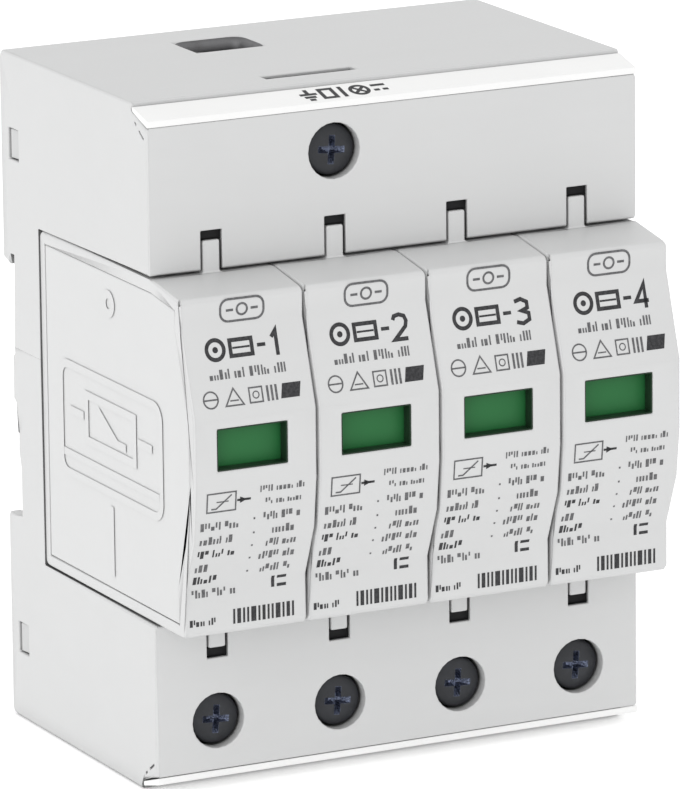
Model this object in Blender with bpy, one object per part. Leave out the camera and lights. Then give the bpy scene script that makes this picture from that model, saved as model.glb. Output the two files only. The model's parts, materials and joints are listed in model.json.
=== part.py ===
"""DIN rail surge arrester: a four-pole base with screw terminals and four plug-in protection modules.

Metres, +Z up. The origin is the middle of the face that seats on the rail. The front looks along -Y,
the rail lies along X behind the device, and X = 0 is the middle of its width.
"""

import math

import bmesh
import bpy
from mathutils import Vector

# Overall sizes
POLE_PITCH = 0.0175
POLE_COUNT = 4
EARTH_POLE = 1
BASE_HEIGHT = 0.090
BASE_DEPTH = 0.045
RAIL_RISE = 0.0005
BAY_WALL = 0.0076
FIT_GAP = 0.0003

# Rail seat and hook
SEAT_RECESS = 0.0034
RAIL_HEIGHT = 0.035
RAIL_FLANGE = 0.001
HOOK_OVERLAP = 0.0015
HOOK_LEAD = 0.0014
SWING_RELIEF = 0.0012
SWING_RELIEF_HEIGHT = 0.0068
SWING_SLOPE = 0.0021
SEAT_RELIEF = 0.0003
PAD_HEIGHT = 0.0062
PAD_CENTRE = 0.001
PAD_RISE = 0.0011

# Base housing and rear cover
SIDE_WALL = 0.0018
END_WALL = 0.002
SEAT_PLATE = 0.0025
CORNER_RADIUS = 0.001
EDGE_SOFTENING = 0.0003
PARTING_HEIGHT = 0.0051
SNAP_WIDTH = 0.0031
SNAP_HEIGHT = 0.0042
SNAP_REAR = 0.0024
SNAP_UPPER_DROP = 0.0121
SNAP_LOWER_RISE = 0.0111
SNAP_NOSE = 0.0016

# Label strips along the front edges
STRIP_DEPTH = 0.0044
STRIP_RISE = 0.00115
STRIP_THICKNESS = 0.0006
STRIP_RIM = 0.0005

# Guide grooves for the modules
GROOVE_WIDTH = 0.003
GROOVE_SHARE = 0.24
RIB_END_GAP = 0.001
RIB_LENGTH = 0.0155

# Terminals
HEAD_DIAMETER = 0.0067
HEAD_SINK = 0.0008
HEAD_LENGTH = 0.0082
SHANK_DIAMETER = 0.005
RECESS_LENGTH = 0.0044
RECESS_SLOT = 0.001
RECESS_DEPTH = 0.0016
CAGE_WIDTH = 0.0106
CAGE_SHARE = 0.46
CAGE_SIDE = 0.0014
CAGE_FRONT = 0.0025
CAGE_REAR = 0.0015
CLAMP_SPACE = 0.0078
CLAMP_CLOSED = 0.0005
CLAMP_PLAY = 0.0006
ENTRY_WIDTH = 0.009
ENTRY_DEPTH = 0.007
ENTRY_RADIUS = 0.0014
ENTRY_FUNNEL = 0.0008
COMB_WIDTH = 0.013
COMB_SLOT = 0.0020
COMB_SHIFT = 0.00175

# Contacts
BAR_THICKNESS = 0.0012
BAR_WIDTH = 0.009
BAR_CLEARANCE = 0.0008
BAR_WALL = 0.0014
CLAMP_LEG_WIDTH = 0.007
LEG_SETBACK = 0.0008
FORK_LEAF = 0.0008
FORK_LENGTH = 0.0088
BUSBAR_WIDTH = 0.003

# Rail clips
CLIP_CENTRES = (-0.0175, 0.0175)
CLIP_WIDTH = 0.0078
CLIP_FLANGE_WIDTH = 0.0011
CLIP_FLANGE = 0.001
CLIP_THICKNESS = 0.0018
CLIP_NOSE = 0.0016
CLIP_TRAVEL = 0.0025
CLIP_LUG_WIDTH = 0.0022
CLIP_LUG_HEIGHT = 0.0014
CLIP_LUG_DROP = 0.0083
CLIP_SLOT_WIDTH = 0.004
CLIP_SLOT_HEIGHT = 0.0012
CLIP_SPRING_FLOOR = 0.0059
CLIP_SPRING_RADIUS = 0.00085
CLIP_SPRING_WIRE = 0.00018

# Modules
MODULE_WALL = 0.0016
MODULE_SIDE = 0.0012
NOSE_LOW = 0.0085
NOSE_CHIN = 0.0112
NOSE_FULL = 0.012
TOP_SLOPE = 0.0011
BROW_DROP = 0.0048
WINDOW_BAND_TOP = 0.0066
WINDOW_BAND_BOTTOM = -0.0026
CHIN_RISE = 0.0133
JAW_RISE = 0.0065
MODULE_RADIUS = 0.0009
WINDOW_WIDTH = 0.0099
WINDOW_HEIGHT = 0.0055
WINDOW_CENTRE_X = -0.0004
WINDOW_CENTRE_Z = 0.00255
WINDOW_WALL = 0.0012

# Inside a module
SLIDER_THICKNESS = 0.0005
SLIDER_LAP = 0.0005
SLIDER_TRAVEL = 0.0066
SLIDER_ARM = 0.0016
SLIDER_LUG_DEPTH = 0.0024
SLIDER_LUG_HEIGHT = 0.0015
SLIDER_LUG_SETBACK = 0.003
TRIPPED_PLATE = 0.0006
TRIP_SPRING_RADIUS = 0.0009
TRIP_SPRING_WIRE = 0.0002
VARISTOR_THICKNESS = 0.0086
VARISTOR_EDGE = 0.001
VARISTOR_CORNER = 0.010
VARISTOR_REAR = 0.0055
VARISTOR_FRONT_GAP = 0.0025
VARISTOR_BLADE_GAP = 0.0015
BLADE_THICKNESS = 0.001
BLADE_LENGTH = 0.0085
BLADE_REAR = 0.002
BLADE_INNER = 0.006
STRAP_LENGTH = 0.016
STRAP_HEIGHT = 0.003

# Facets
ROUND_STEPS = 24
CORNER_STEPS = 3
SPRING_TURNS = 5
SPRING_STEPS = 8
SPRING_SIDES = 4

# Worked out from the sizes above
BASE_WIDTH = POLE_PITCH * POLE_COUNT
BOTTOM_Z = -BASE_HEIGHT / 2 - RAIL_RISE
TOP_Z = BOTTOM_Z + BASE_HEIGHT
REAR_Y = SEAT_RECESS
SHOULDER_Y = REAR_Y - BASE_DEPTH
MODULE_HALF = BASE_HEIGHT / 4
BAY_HALF = MODULE_HALF + FIT_GAP
BAY_REAR_Y = -BAY_WALL
BLOCK_HEIGHT = TOP_Z - BAY_HALF
GROOVE_DEPTH = BLOCK_HEIGHT * GROOVE_SHARE
CAGE_HEIGHT = BLOCK_HEIGHT * CAGE_SHARE
MODULE_WIDTH = POLE_PITCH - FIT_GAP
MODULE_REAR_Y = BAY_REAR_Y - FIT_GAP
GROOVE_END = BAY_HALF + GROOVE_DEPTH
RIB_END = GROOVE_END - RIB_END_GAP - FIT_GAP
COVER_INNER_Y = -SEAT_PLATE
RECESS_Y = COVER_INNER_Y - FIT_GAP
SNAP_CENTRES = (TOP_Z - SNAP_UPPER_DROP, BOTTOM_Z + SNAP_LOWER_RISE)
OUTSIDE = 0.002

# Distances of a terminal's pieces from the rail's middle
BAR_INNER = GROOVE_END + BAR_WALL
BAR_OUTER = BAR_INNER + BAR_THICKNESS
TERMINAL_OFFSET = BAR_OUTER + BAR_CLEARANCE + CAGE_HEIGHT / 2
LEG_END = TERMINAL_OFFSET + CAGE_HEIGHT / 2 - LEG_SETBACK

# Stations of a terminal along the screw, from the rear
CAGE_REAR_Y = COVER_INNER_Y - FIT_GAP
CAGE_REAR_FACE_Y = CAGE_REAR_Y - CAGE_REAR
LEG_REAR_Y = CAGE_REAR_FACE_Y - CLAMP_SPACE
LEG_FRONT_Y = LEG_REAR_Y - BAR_THICKNESS
CAGE_FRONT_FACE_Y = LEG_FRONT_Y - CLAMP_PLAY
CAGE_FRONT_Y = CAGE_FRONT_FACE_Y - CAGE_FRONT
CAGE_TRAVEL = CLAMP_SPACE - CLAMP_CLOSED
CHAMBER_FRONT_Y = CAGE_FRONT_Y - CAGE_TRAVEL - FIT_GAP
ENTRY_Y = (CAGE_REAR_FACE_Y + LEG_REAR_Y) / 2
HEAD_FRONT_Y = SHOULDER_Y + HEAD_SINK
HEAD_REAR_Y = HEAD_FRONT_Y + HEAD_LENGTH
COMB_FRONT_Y = HEAD_REAR_Y + 2 * FIT_GAP
FRONT_LEG_Y = COMB_FRONT_Y + COMB_SLOT + 2 * FIT_GAP
SCREW_TIP_Y = LEG_FRONT_Y - FIT_GAP
SHANK_BORE = SHANK_DIAMETER + 2 * FIT_GAP
HEAD_BORE = HEAD_DIAMETER + 2 * FIT_GAP
CHAMBER_INNER = TERMINAL_OFFSET - CAGE_HEIGHT / 2 - FIT_GAP
CHAMBER_OUTER = TERMINAL_OFFSET + CAGE_HEIGHT / 2 + FIT_GAP
COMB_INNER = TERMINAL_OFFSET - HEAD_BORE / 2
BLADE_REAR_Y = MODULE_REAR_Y - BLADE_REAR
BLADE_FRONT_Y = BLADE_REAR_Y - BLADE_LENGTH
FORK_REAR_Y = BLADE_REAR_Y - FIT_GAP
FORK_FRONT_Y = FORK_REAR_Y - FORK_LENGTH
FORK_INSIDE = BLADE_THICKNESS / 2 + FIT_GAP
FORK_OUTSIDE = FORK_INSIDE + FORK_LEAF
FORK_TIP = BAY_HALF + FIT_GAP
BUSBAR_REAR_Y = BAY_REAR_Y + FIT_GAP

# Heights of the rail slot
RAIL_EDGE = RAIL_HEIGHT / 2
SLOT_TOP = RAIL_EDGE + FIT_GAP
SLOT_BOTTOM = -RAIL_EDGE - FIT_GAP
HOOK_Z = RAIL_EDGE - HOOK_OVERLAP
HOOK_Y = RAIL_FLANGE + FIT_GAP

# Heights of a rail clip, and of the pocket of its spring
CLIP_NOSE_Z = CLIP_NOSE - RAIL_EDGE
CLIP_SHOULDER_Z = SLOT_BOTTOM - FIT_GAP
CLIP_LUG_TOP_Z = CLIP_SHOULDER_Z - CLIP_LUG_DROP + 2 * FIT_GAP
CLIP_TAIL_Z = BOTTOM_Z + CLIP_TRAVEL + 3 * FIT_GAP
CLIP_SPRING_TOP_Z = CLIP_LUG_TOP_Z - CLIP_LUG_HEIGHT - FIT_GAP
CLIP_SPRING_LOW_Z = BOTTOM_Z + CLIP_SPRING_FLOOR
POCKET_Y = COVER_INNER_Y + 3 * FIT_GAP

# Stations of the status window, from the front
NOSE_Y = SHOULDER_Y - NOSE_FULL
SLIDER_FRONT_Y = NOSE_Y + WINDOW_WALL + 3 * FIT_GAP
SLIDER_REAR_Y = SLIDER_FRONT_Y + SLIDER_THICKNESS
PLATE_FRONT_Y = SLIDER_REAR_Y + FIT_GAP
PLATE_REAR_Y = PLATE_FRONT_Y + TRIPPED_PLATE
WINDOW_LOW_Z = WINDOW_CENTRE_Z - WINDOW_HEIGHT / 2
WINDOW_HIGH_Z = WINDOW_CENTRE_Z + WINDOW_HEIGHT / 2
SLIDER_LOW_Z = WINDOW_LOW_Z - SLIDER_LAP
SLIDER_HIGH_Z = WINDOW_HIGH_Z + SLIDER_LAP
INNER_RIGHT = MODULE_WIDTH / 2 - MODULE_SIDE
INNER_LEFT = -MODULE_WIDTH / 2 + MODULE_SIDE + FIT_GAP
SPRING_Y = PLATE_REAR_Y + SLIDER_LUG_SETBACK
SPRING_X = INNER_RIGHT - FIT_GAP - SLIDER_ARM - TRIP_SPRING_RADIUS


def clear_scene():
    for old in list(bpy.data.objects):
        bpy.data.objects.remove(old, do_unlink=True)


def material(name, colour, roughness, metallic=0.0):
    made = bpy.data.materials.new(name)
    made.use_nodes = True
    made.diffuse_color = (*colour, 1.0)
    shader = made.node_tree.nodes["Principled BSDF"]
    shader.inputs["Base Color"].default_value = (*colour, 1.0)
    shader.inputs["Roughness"].default_value = roughness
    shader.inputs["Metallic"].default_value = metallic
    return made


def object_of(name, build):
    """A new object whose mesh is the bmesh given, with its faces turned outwards."""
    mesh = bpy.data.meshes.new(name)
    bmesh.ops.recalc_face_normals(build, faces=build.faces)
    if build.calc_volume(signed=True) < 0:
        bmesh.ops.reverse_faces(build, faces=build.faces)
    build.to_mesh(mesh)
    build.free()
    made = bpy.data.objects.new(name, mesh)
    bpy.context.scene.collection.objects.link(made)
    return made


def box(name, low, high):
    build = bmesh.new()
    bmesh.ops.create_cube(build, size=1.0)
    for vertex in build.verts:
        vertex.co = Vector(
            low[axis] + (vertex.co[axis] + 0.5) * (high[axis] - low[axis]) for axis in range(3)
        )
    return object_of(name, build)


def rounded(points):
    """The outline through (y, z, radius) corners, with an arc of CORNER_STEPS at each radius."""
    outline = []
    for index, (y, z, radius) in enumerate(points):
        here = Vector((y, z))
        before = Vector(points[index - 1][:2]) - here
        after = Vector(points[(index + 1) % len(points)][:2]) - here
        if radius <= 0:
            outline.append(here)
            continue
        half = before.angle(after) / 2
        reach = radius / math.tan(half)
        start = here + before.normalized() * reach
        end = here + after.normalized() * reach
        centre = here + (before.normalized() + after.normalized()).normalized() * radius / math.sin(half)
        for step in range(CORNER_STEPS + 1):
            share = step / CORNER_STEPS
            chord = start.lerp(end, share) - centre
            outline.append(centre + chord.normalized() * radius)
    return outline


def inset(points, distance):
    """The corners of a closed outline moved inwards, each radius shrinking with it."""
    area = sum(a[0] * b[1] - b[0] * a[1] for a, b in zip(points, points[1:] + points[:1]))
    turn = 1 if area > 0 else -1
    moved = []
    for index, (y, z, radius) in enumerate(points):
        here = Vector((y, z))
        before = (here - Vector(points[index - 1][:2])).normalized()
        after = (Vector(points[(index + 1) % len(points)][:2]) - here).normalized()
        normal_before = Vector((-before.y, before.x)) * turn
        normal_after = Vector((-after.y, after.x)) * turn
        middle = (normal_before + normal_after).normalized()
        place = here + middle * distance / middle.dot(normal_before)
        moved.append((place.x, place.y, max(radius - distance, 0)))
    return moved


def prism(name, outline, low_x, high_x, softening=0.0):
    """An outline in Y and Z drawn out along X, its two end rims bevelled by the softening."""
    build = bmesh.new()
    ends = []
    for x in (low_x, high_x):
        ends.append([build.verts.new((x, point[0], point[1])) for point in outline])
    build.faces.new(ends[0])
    build.faces.new(list(reversed(ends[1])))
    for index in range(len(outline)):
        after = (index + 1) % len(outline)
        build.faces.new((ends[0][after], ends[0][index], ends[1][index], ends[1][after]))
    if softening > 0:
        rims = [edge for edge in build.edges if abs(edge.verts[0].co.x - edge.verts[1].co.x) < 1e-9]
        bmesh.ops.bevel(build, geom=rims, offset=softening, segments=1, profile=0.5, affect="EDGES")
    return object_of(name, build)


def rod(name, centre, diameter, low_y, high_y):
    """A round bar along Y."""
    build = bmesh.new()
    radius = diameter / 2
    depth = high_y - low_y
    bmesh.ops.create_cone(
        build, cap_ends=True, segments=ROUND_STEPS, radius1=radius, radius2=radius, depth=depth
    )
    for vertex in build.verts:
        x, y, z = vertex.co
        vertex.co = (centre[0] + x, (low_y + high_y) / 2 + z, centre[1] + y)
    return object_of(name, build)


def turned(name, profile):
    """A closed solid turned about Y from (y, radius) points that start and end on the axis."""
    build = bmesh.new()
    rings = []
    for y, radius in profile:
        if radius == 0:
            rings.append([build.verts.new((0, y, 0))])
            continue
        ring = []
        for step in range(ROUND_STEPS):
            angle = 2 * math.pi * step / ROUND_STEPS
            ring.append(build.verts.new((radius * math.cos(angle), y, radius * math.sin(angle))))
        rings.append(ring)
    for ring, following in zip(rings, rings[1:]):
        for step in range(ROUND_STEPS):
            after = (step + 1) % ROUND_STEPS
            corners = [ring[step % len(ring)], ring[after % len(ring)]]
            corners += [following[after % len(following)], following[step % len(following)]]
            build.faces.new(list(dict.fromkeys(corners)))
    return object_of(name, build)


def tapered_mouth(name, centre, size, spread, z_mouth, z_throat):
    """A four-sided funnel in Z, wider by the spread all round at its mouth."""
    build = bmesh.new()
    loops = []
    for z, extra in ((z_mouth, spread), (z_throat, 0.0)):
        half_x = size[0] / 2 + extra
        half_y = size[1] / 2 + extra
        corners = ((-half_x, -half_y), (half_x, -half_y), (half_x, half_y), (-half_x, half_y))
        loops.append([build.verts.new((centre[0] + x, centre[1] + y, z)) for x, y in corners])
    build.faces.new(loops[0])
    build.faces.new(list(reversed(loops[1])))
    for index in range(4):
        after = (index + 1) % 4
        build.faces.new((loops[0][after], loops[0][index], loops[1][index], loops[1][after]))
    return object_of(name, build)


def coil(name, centre, radius, wire, low_z, high_z):
    """A spring of round wire wound about Z."""
    build = bmesh.new()
    rings = []
    count = SPRING_TURNS * SPRING_STEPS
    rise = (high_z - low_z - 2 * wire) / count
    pitch = math.atan2(rise * SPRING_STEPS, 2 * math.pi * radius)
    for index in range(count + 1):
        turn = 2 * math.pi * index / SPRING_STEPS
        out = Vector((math.cos(turn), math.sin(turn), 0))
        along = Vector((-math.sin(turn) * math.cos(pitch), math.cos(turn) * math.cos(pitch), math.sin(pitch)))
        across = along.cross(out)
        middle = Vector(centre).to_3d() + out * radius + Vector((0, 0, low_z + wire + rise * index))
        ring = []
        for side in range(SPRING_SIDES):
            angle = 2 * math.pi * side / SPRING_SIDES
            ring.append(build.verts.new(middle + (out * math.cos(angle) + across * math.sin(angle)) * wire))
        rings.append(ring)
    for ring, following in zip(rings, rings[1:]):
        for side in range(SPRING_SIDES):
            after = (side + 1) % SPRING_SIDES
            build.faces.new((ring[side], ring[after], following[after], following[side]))
    build.faces.new(list(reversed(rings[0])))
    build.faces.new(rings[-1])
    made = object_of(name, build)
    made.data.shade_smooth()
    return made


def combine(body, others, operation):
    """The body after a Boolean with each of the others, which are used up."""
    for other in others:
        other.hide_render = True
        other.display_type = "WIRE"
        step = body.modifiers.new(other.name, "BOOLEAN")
        step.operation = operation
        step.object = other
        step.solver = "EXACT"
    graph = bpy.context.evaluated_depsgraph_get()
    mesh = bpy.data.meshes.new_from_object(body.evaluated_get(graph))
    body.modifiers.clear()
    old = body.data
    body.data = mesh
    mesh.name = body.name
    bpy.data.meshes.remove(old)
    for other in others:
        bpy.data.objects.remove(other, do_unlink=True)
    return body


def cut(body, cutters):
    return combine(body, cutters, "DIFFERENCE")


def join(body, others):
    return combine(body, others, "UNION")


def place(name, mesh, surface, parent=None, location=(0, 0, 0)):
    """A visible object that shows this mesh in this material."""
    made = bpy.data.objects.new(name, mesh)
    bpy.context.scene.collection.objects.link(made)
    if not mesh.materials:
        mesh.materials.append(surface)
    made.parent = parent
    made.location = location
    return made


def take_mesh(body):
    """The mesh of a finished shape, whose object goes away."""
    mesh = body.data
    bpy.data.objects.remove(body, do_unlink=True)
    return mesh


def mirrored(body, sign):
    """The shape as drawn for the upper side, or turned over to the lower side when the sign is -1."""
    if sign < 0:
        build = bmesh.new()
        build.from_mesh(body.data)
        for vertex in build.verts:
            vertex.co.z = -vertex.co.z
        bmesh.ops.reverse_faces(build, faces=build.faces)
        build.to_mesh(body.data)
        build.free()
    return body


def pole_x(pole):
    return (pole - (POLE_COUNT - 1) / 2) * POLE_PITCH


def outer_z(sign):
    """The height of the base's end face above or below the rail's middle."""
    return TOP_Z if sign > 0 else -BOTTOM_Z


def strip_lines(end_z):
    """The strip's outer line, and the direction into the base, for an end face at this distance."""
    front = Vector((SHOULDER_Y, end_z - STRIP_RIM - STRIP_RISE))
    rear = Vector((SHOULDER_Y + STRIP_DEPTH, end_z - STRIP_RIM))
    along = (rear - front).normalized()
    inward = Vector((along.y, -along.x))
    return front, rear, along, inward


def seat_corners(end_z):
    """Corners of the base where the strip seats: at the front face, and at the rim behind the strip."""
    front, rear, along, inward = strip_lines(end_z)
    sunk = front + inward * (STRIP_THICKNESS + FIT_GAP)
    start = sunk - along * ((sunk.x - SHOULDER_Y) / along.x)
    rim_y = rear.x + FIT_GAP
    end = sunk + along * ((rim_y - sunk.x) / along.x)
    return start, end


def base_outline():
    """The side view of the housing: two blocks with the module bay between them and the rail slot behind."""
    top_start, top_end = seat_corners(TOP_Z)
    low_start, low_end = seat_corners(-BOTTOM_Z)
    relief_top = SLOT_BOTTOM + SWING_RELIEF_HEIGHT
    return [
        (REAR_Y, TOP_Z, CORNER_RADIUS),
        (top_end.x, TOP_Z, 0),
        (top_end.x, top_end.y, 0),
        (top_start.x, top_start.y, 0),
        (SHOULDER_Y, BAY_HALF, 0),
        (BAY_REAR_Y, BAY_HALF, 0),
        (BAY_REAR_Y, -BAY_HALF, 0),
        (SHOULDER_Y, -BAY_HALF, 0),
        (low_start.x, -low_start.y, 0),
        (low_end.x, -low_end.y, 0),
        (low_end.x, BOTTOM_Z, 0),
        (REAR_Y, BOTTOM_Z, CORNER_RADIUS),
        (REAR_Y, SLOT_BOTTOM, 0),
        (-SWING_RELIEF, SLOT_BOTTOM, 0),
        (-SWING_RELIEF, relief_top, 0),
        (0, relief_top + SWING_SLOPE, 0),
        (0, PAD_CENTRE - PAD_HEIGHT / 2, 0),
        (PAD_RISE, PAD_CENTRE - PAD_HEIGHT / 2, 0),
        (PAD_RISE, PAD_CENTRE + PAD_HEIGHT / 2, 0),
        (0, PAD_CENTRE + PAD_HEIGHT / 2, 0),
        (0, HOOK_Z - FIT_GAP, 0),
        (-SEAT_RELIEF, HOOK_Z - FIT_GAP, 0),
        (-SEAT_RELIEF, SLOT_TOP, 0),
        (HOOK_Y, SLOT_TOP, 0),
        (HOOK_Y, HOOK_Z, 0),
        (REAR_Y, HOOK_Z + HOOK_LEAD / 2, 0),
    ]


def groove_cutters(x, sign):
    """Cuts that guide one module: the groove for its rib and blade, and the pocket of the fork."""
    half = GROOVE_WIDTH / 2
    groove = box(
        "groove",
        (x - half, SHOULDER_Y - OUTSIDE, BAY_HALF - OUTSIDE),
        (x + half, FORK_REAR_Y + 2 * FIT_GAP, GROOVE_END),
    )
    pocket = box(
        "fork pocket",
        (x - FORK_OUTSIDE - FIT_GAP, FORK_FRONT_Y - FIT_GAP, BAY_HALF - OUTSIDE),
        (x + FORK_OUTSIDE + FIT_GAP, FORK_REAR_Y + 2 * FIT_GAP, BAR_INNER),
    )
    channel = box(
        "bar channel",
        (x - BAR_WIDTH / 2 - FIT_GAP, FORK_FRONT_Y - FIT_GAP, BAR_INNER - FIT_GAP),
        (x + BAR_WIDTH / 2 + FIT_GAP, 0, BAR_OUTER + FIT_GAP),
    )
    return [mirrored(cutter, sign) for cutter in (groove, pocket, channel)]


def terminal_cutters(x, sign):
    """Cuts for one terminal: its cage chamber, screw bores, cable entry and comb slot."""
    end_z = outer_z(sign)
    comb_x = x + (COMB_SHIFT if sign > 0 else 0)
    chamber = box(
        "chamber",
        (x - CAGE_WIDTH / 2 - FIT_GAP, CHAMBER_FRONT_Y, CHAMBER_INNER),
        (x + CAGE_WIDTH / 2 + FIT_GAP, 0, CHAMBER_OUTER),
    )
    run = box(
        "run",
        (x - BAR_WIDTH / 2 - FIT_GAP, FRONT_LEG_Y - FIT_GAP, BAR_INNER - FIT_GAP),
        (x + BAR_WIDTH / 2 + FIT_GAP, 0, CHAMBER_INNER + FIT_GAP),
    )
    leg = box(
        "leg slot",
        (x - BAR_WIDTH / 2 - FIT_GAP, FRONT_LEG_Y - FIT_GAP, BAR_INNER - FIT_GAP),
        (
            x + BAR_WIDTH / 2 + FIT_GAP,
            FRONT_LEG_Y + BAR_THICKNESS + FIT_GAP,
            LEG_END + FIT_GAP,
        ),
    )
    head = rod("head bore", (x, TERMINAL_OFFSET), HEAD_BORE, SHOULDER_Y - OUTSIDE, HEAD_REAR_Y + FIT_GAP)
    shank = rod("shank bore", (x, TERMINAL_OFFSET), SHANK_BORE, HEAD_REAR_Y, CHAMBER_FRONT_Y + FIT_GAP)
    entry = box(
        "cable entry",
        (x - ENTRY_WIDTH / 2, ENTRY_Y - ENTRY_DEPTH / 2, CHAMBER_OUTER - FIT_GAP),
        (x + ENTRY_WIDTH / 2, ENTRY_Y + ENTRY_DEPTH / 2, end_z + OUTSIDE),
    )
    round_upright_edges(entry, ENTRY_RADIUS)
    entry_size = (ENTRY_WIDTH, ENTRY_DEPTH)
    throat_z = end_z - ENTRY_FUNNEL
    funnel = tapered_mouth("entry funnel", (x, ENTRY_Y), entry_size, ENTRY_FUNNEL, end_z + FIT_GAP, throat_z)
    comb = box(
        "comb slot",
        (comb_x - COMB_WIDTH / 2, COMB_FRONT_Y, COMB_INNER),
        (comb_x + COMB_WIDTH / 2, COMB_FRONT_Y + COMB_SLOT, end_z + OUTSIDE),
    )
    cutters = (chamber, run, leg, head, shank, entry, funnel, comb)
    return [mirrored(cutter, sign) for cutter in cutters]


def round_upright_edges(body, radius):
    """Rounds the edges of a box that run along Z."""
    build = bmesh.new()
    build.from_mesh(body.data)
    upright = [edge for edge in build.edges if (edge.verts[0].co - edge.verts[1].co).xy.length < 1e-9]
    bmesh.ops.bevel(build, geom=upright, offset=radius, segments=CORNER_STEPS, profile=0.5, affect="EDGES")
    build.to_mesh(body.data)
    build.free()


def make_base_housing(surface):
    """The two halves of the housing, which part at one height and are cut as one body."""
    half_x = BASE_WIDTH / 2
    body = prism("base body", rounded(base_outline()), -half_x, half_x, EDGE_SOFTENING)
    inner_x = half_x - SIDE_WALL
    cutters = [
        box(
            "cover recess",
            (-inner_x, RECESS_Y, BOTTOM_Z + END_WALL),
            (inner_x, REAR_Y + OUTSIDE, TOP_Z - END_WALL),
        )
    ]
    for pole in range(POLE_COUNT):
        cutters += groove_cutters(pole_x(pole), 1)
        cutters += groove_cutters(pole_x(pole), -1)
        cutters += terminal_cutters(pole_x(pole), -1)
    cutters += terminal_cutters(pole_x(EARTH_POLE), 1)
    bar_reach = pole_x(POLE_COUNT - 1) + BAR_WIDTH / 2 + FIT_GAP
    cutters.append(
        box(
            "busbar channel",
            (-bar_reach, BUSBAR_REAR_Y - BUSBAR_WIDTH - FIT_GAP, BAR_INNER - FIT_GAP),
            (bar_reach, 0, BAR_OUTER + FIT_GAP),
        )
    )
    for height in SNAP_CENTRES:
        cutters.append(
            box(
                "snap windows",
                (-half_x - OUTSIDE, REAR_Y - SNAP_REAR - SNAP_WIDTH, height - SNAP_HEIGHT / 2),
                (half_x + OUTSIDE, REAR_Y - SNAP_REAR, height + SNAP_HEIGHT / 2),
            )
        )
    for x in CLIP_CENTRES:
        reach = CLIP_WIDTH / 2 + CLIP_FLANGE_WIDTH + FIT_GAP
        cutters.append(
            box(
                "clip notch",
                (x - reach, HOOK_Y - FIT_GAP, BOTTOM_Z - OUTSIDE),
                (x + reach, REAR_Y + OUTSIDE, BOTTOM_Z + END_WALL + OUTSIDE),
            )
        )
    whole = take_mesh(cut(body, cutters))
    spans = (
        ("base_housing_upper", PARTING_HEIGHT + FIT_GAP / 2, TOP_Z + OUTSIDE),
        ("base_housing_lower", BOTTOM_Z - OUTSIDE, PARTING_HEIGHT - FIT_GAP / 2),
    )
    for name, low_z, high_z in spans:
        half = place(name, whole.copy(), surface)
        span = box("span", (-BASE_WIDTH, SHOULDER_Y - OUTSIDE, low_z), (BASE_WIDTH, REAR_Y + OUTSIDE, high_z))
        combine(half, [span], "INTERSECT")
    bpy.data.meshes.remove(whole)


def cover_outline():
    """The side view of the rear cover: the rail seat between two thick ends, with the fixed hook on top.

    The seat is flat between the clips and the hook, and a little deeper under both.
    """
    low_z = BOTTOM_Z + END_WALL + FIT_GAP
    high_z = TOP_Z - END_WALL - FIT_GAP
    seat_low = CLIP_NOSE_Z + FIT_GAP
    seat_high = HOOK_Z - FIT_GAP
    return [
        (COVER_INNER_Y, high_z),
        (COVER_INNER_Y, low_z),
        (REAR_Y, low_z),
        (REAR_Y, SLOT_BOTTOM),
        (-SEAT_RELIEF, SLOT_BOTTOM),
        (-SEAT_RELIEF, seat_low),
        (0, seat_low),
        (0, seat_high),
        (-SEAT_RELIEF, seat_high),
        (-SEAT_RELIEF, SLOT_TOP),
        (HOOK_Y, SLOT_TOP),
        (HOOK_Y, HOOK_Z),
        (REAR_Y, HOOK_Z + HOOK_LEAD / 2),
        (REAR_Y, high_z),
    ]


def make_rear_cover(surface):
    half_x = BASE_WIDTH / 2 - SIDE_WALL - FIT_GAP
    body = prism("cover body", cover_outline(), -half_x, half_x)
    noses = []
    for height in SNAP_CENTRES:
        for side in (-1, 1):
            low_y = REAR_Y - SNAP_REAR - SNAP_WIDTH + FIT_GAP
            high_y = REAR_Y - SNAP_REAR - FIT_GAP
            half_z = SNAP_HEIGHT / 2 - FIT_GAP
            noses.append(snap_nose(side, half_x, (low_y, high_y), (height - half_z, height + half_z)))
    join(body, noses)
    cutters = []
    floor_y = HOOK_Y - FIT_GAP
    lips_y = HOOK_Y + CLIP_FLANGE + FIT_GAP
    way_top = SLOT_BOTTOM + FIT_GAP
    lug = CLIP_LUG_WIDTH / 2 + FIT_GAP
    for x in CLIP_CENTRES:
        wide = CLIP_WIDTH / 2 + CLIP_FLANGE_WIDTH + FIT_GAP
        neck = CLIP_WIDTH / 2 + FIT_GAP
        cutters.append(box("clip way", (x - wide, floor_y, BOTTOM_Z), (x + wide, lips_y, way_top)))
        cutters.append(box("clip neck", (x - neck, floor_y, BOTTOM_Z), (x + neck, REAR_Y + OUTSIDE, way_top)))
        cutters.append(
            box(
                "spring pocket",
                (x - lug, POCKET_Y, CLIP_SPRING_LOW_Z - FIT_GAP),
                (x + lug, HOOK_Y, CLIP_LUG_TOP_Z + FIT_GAP),
            )
        )
    return place("rear_cover", take_mesh(cut(body, cutters)), surface)


def snap_nose(side, root_x, span_y, span_z):
    """A wedge on the cover's edge that springs into the housing's snap window."""
    build = bmesh.new()
    tip_x = root_x + SNAP_NOSE
    sunk_x = root_x - OUTSIDE
    outline = ((sunk_x, span_y[0]), (root_x + FIT_GAP, span_y[0]), (tip_x, span_y[1]), (sunk_x, span_y[1]))
    rings = []
    for z in span_z:
        rings.append([build.verts.new((side * x, y, z)) for x, y in outline])
    build.faces.new(rings[0])
    build.faces.new(list(reversed(rings[1])))
    for index in range(4):
        after = (index + 1) % 4
        build.faces.new((rings[0][after], rings[0][index], rings[1][index], rings[1][after]))
    return object_of("snap nose", build)


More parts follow.
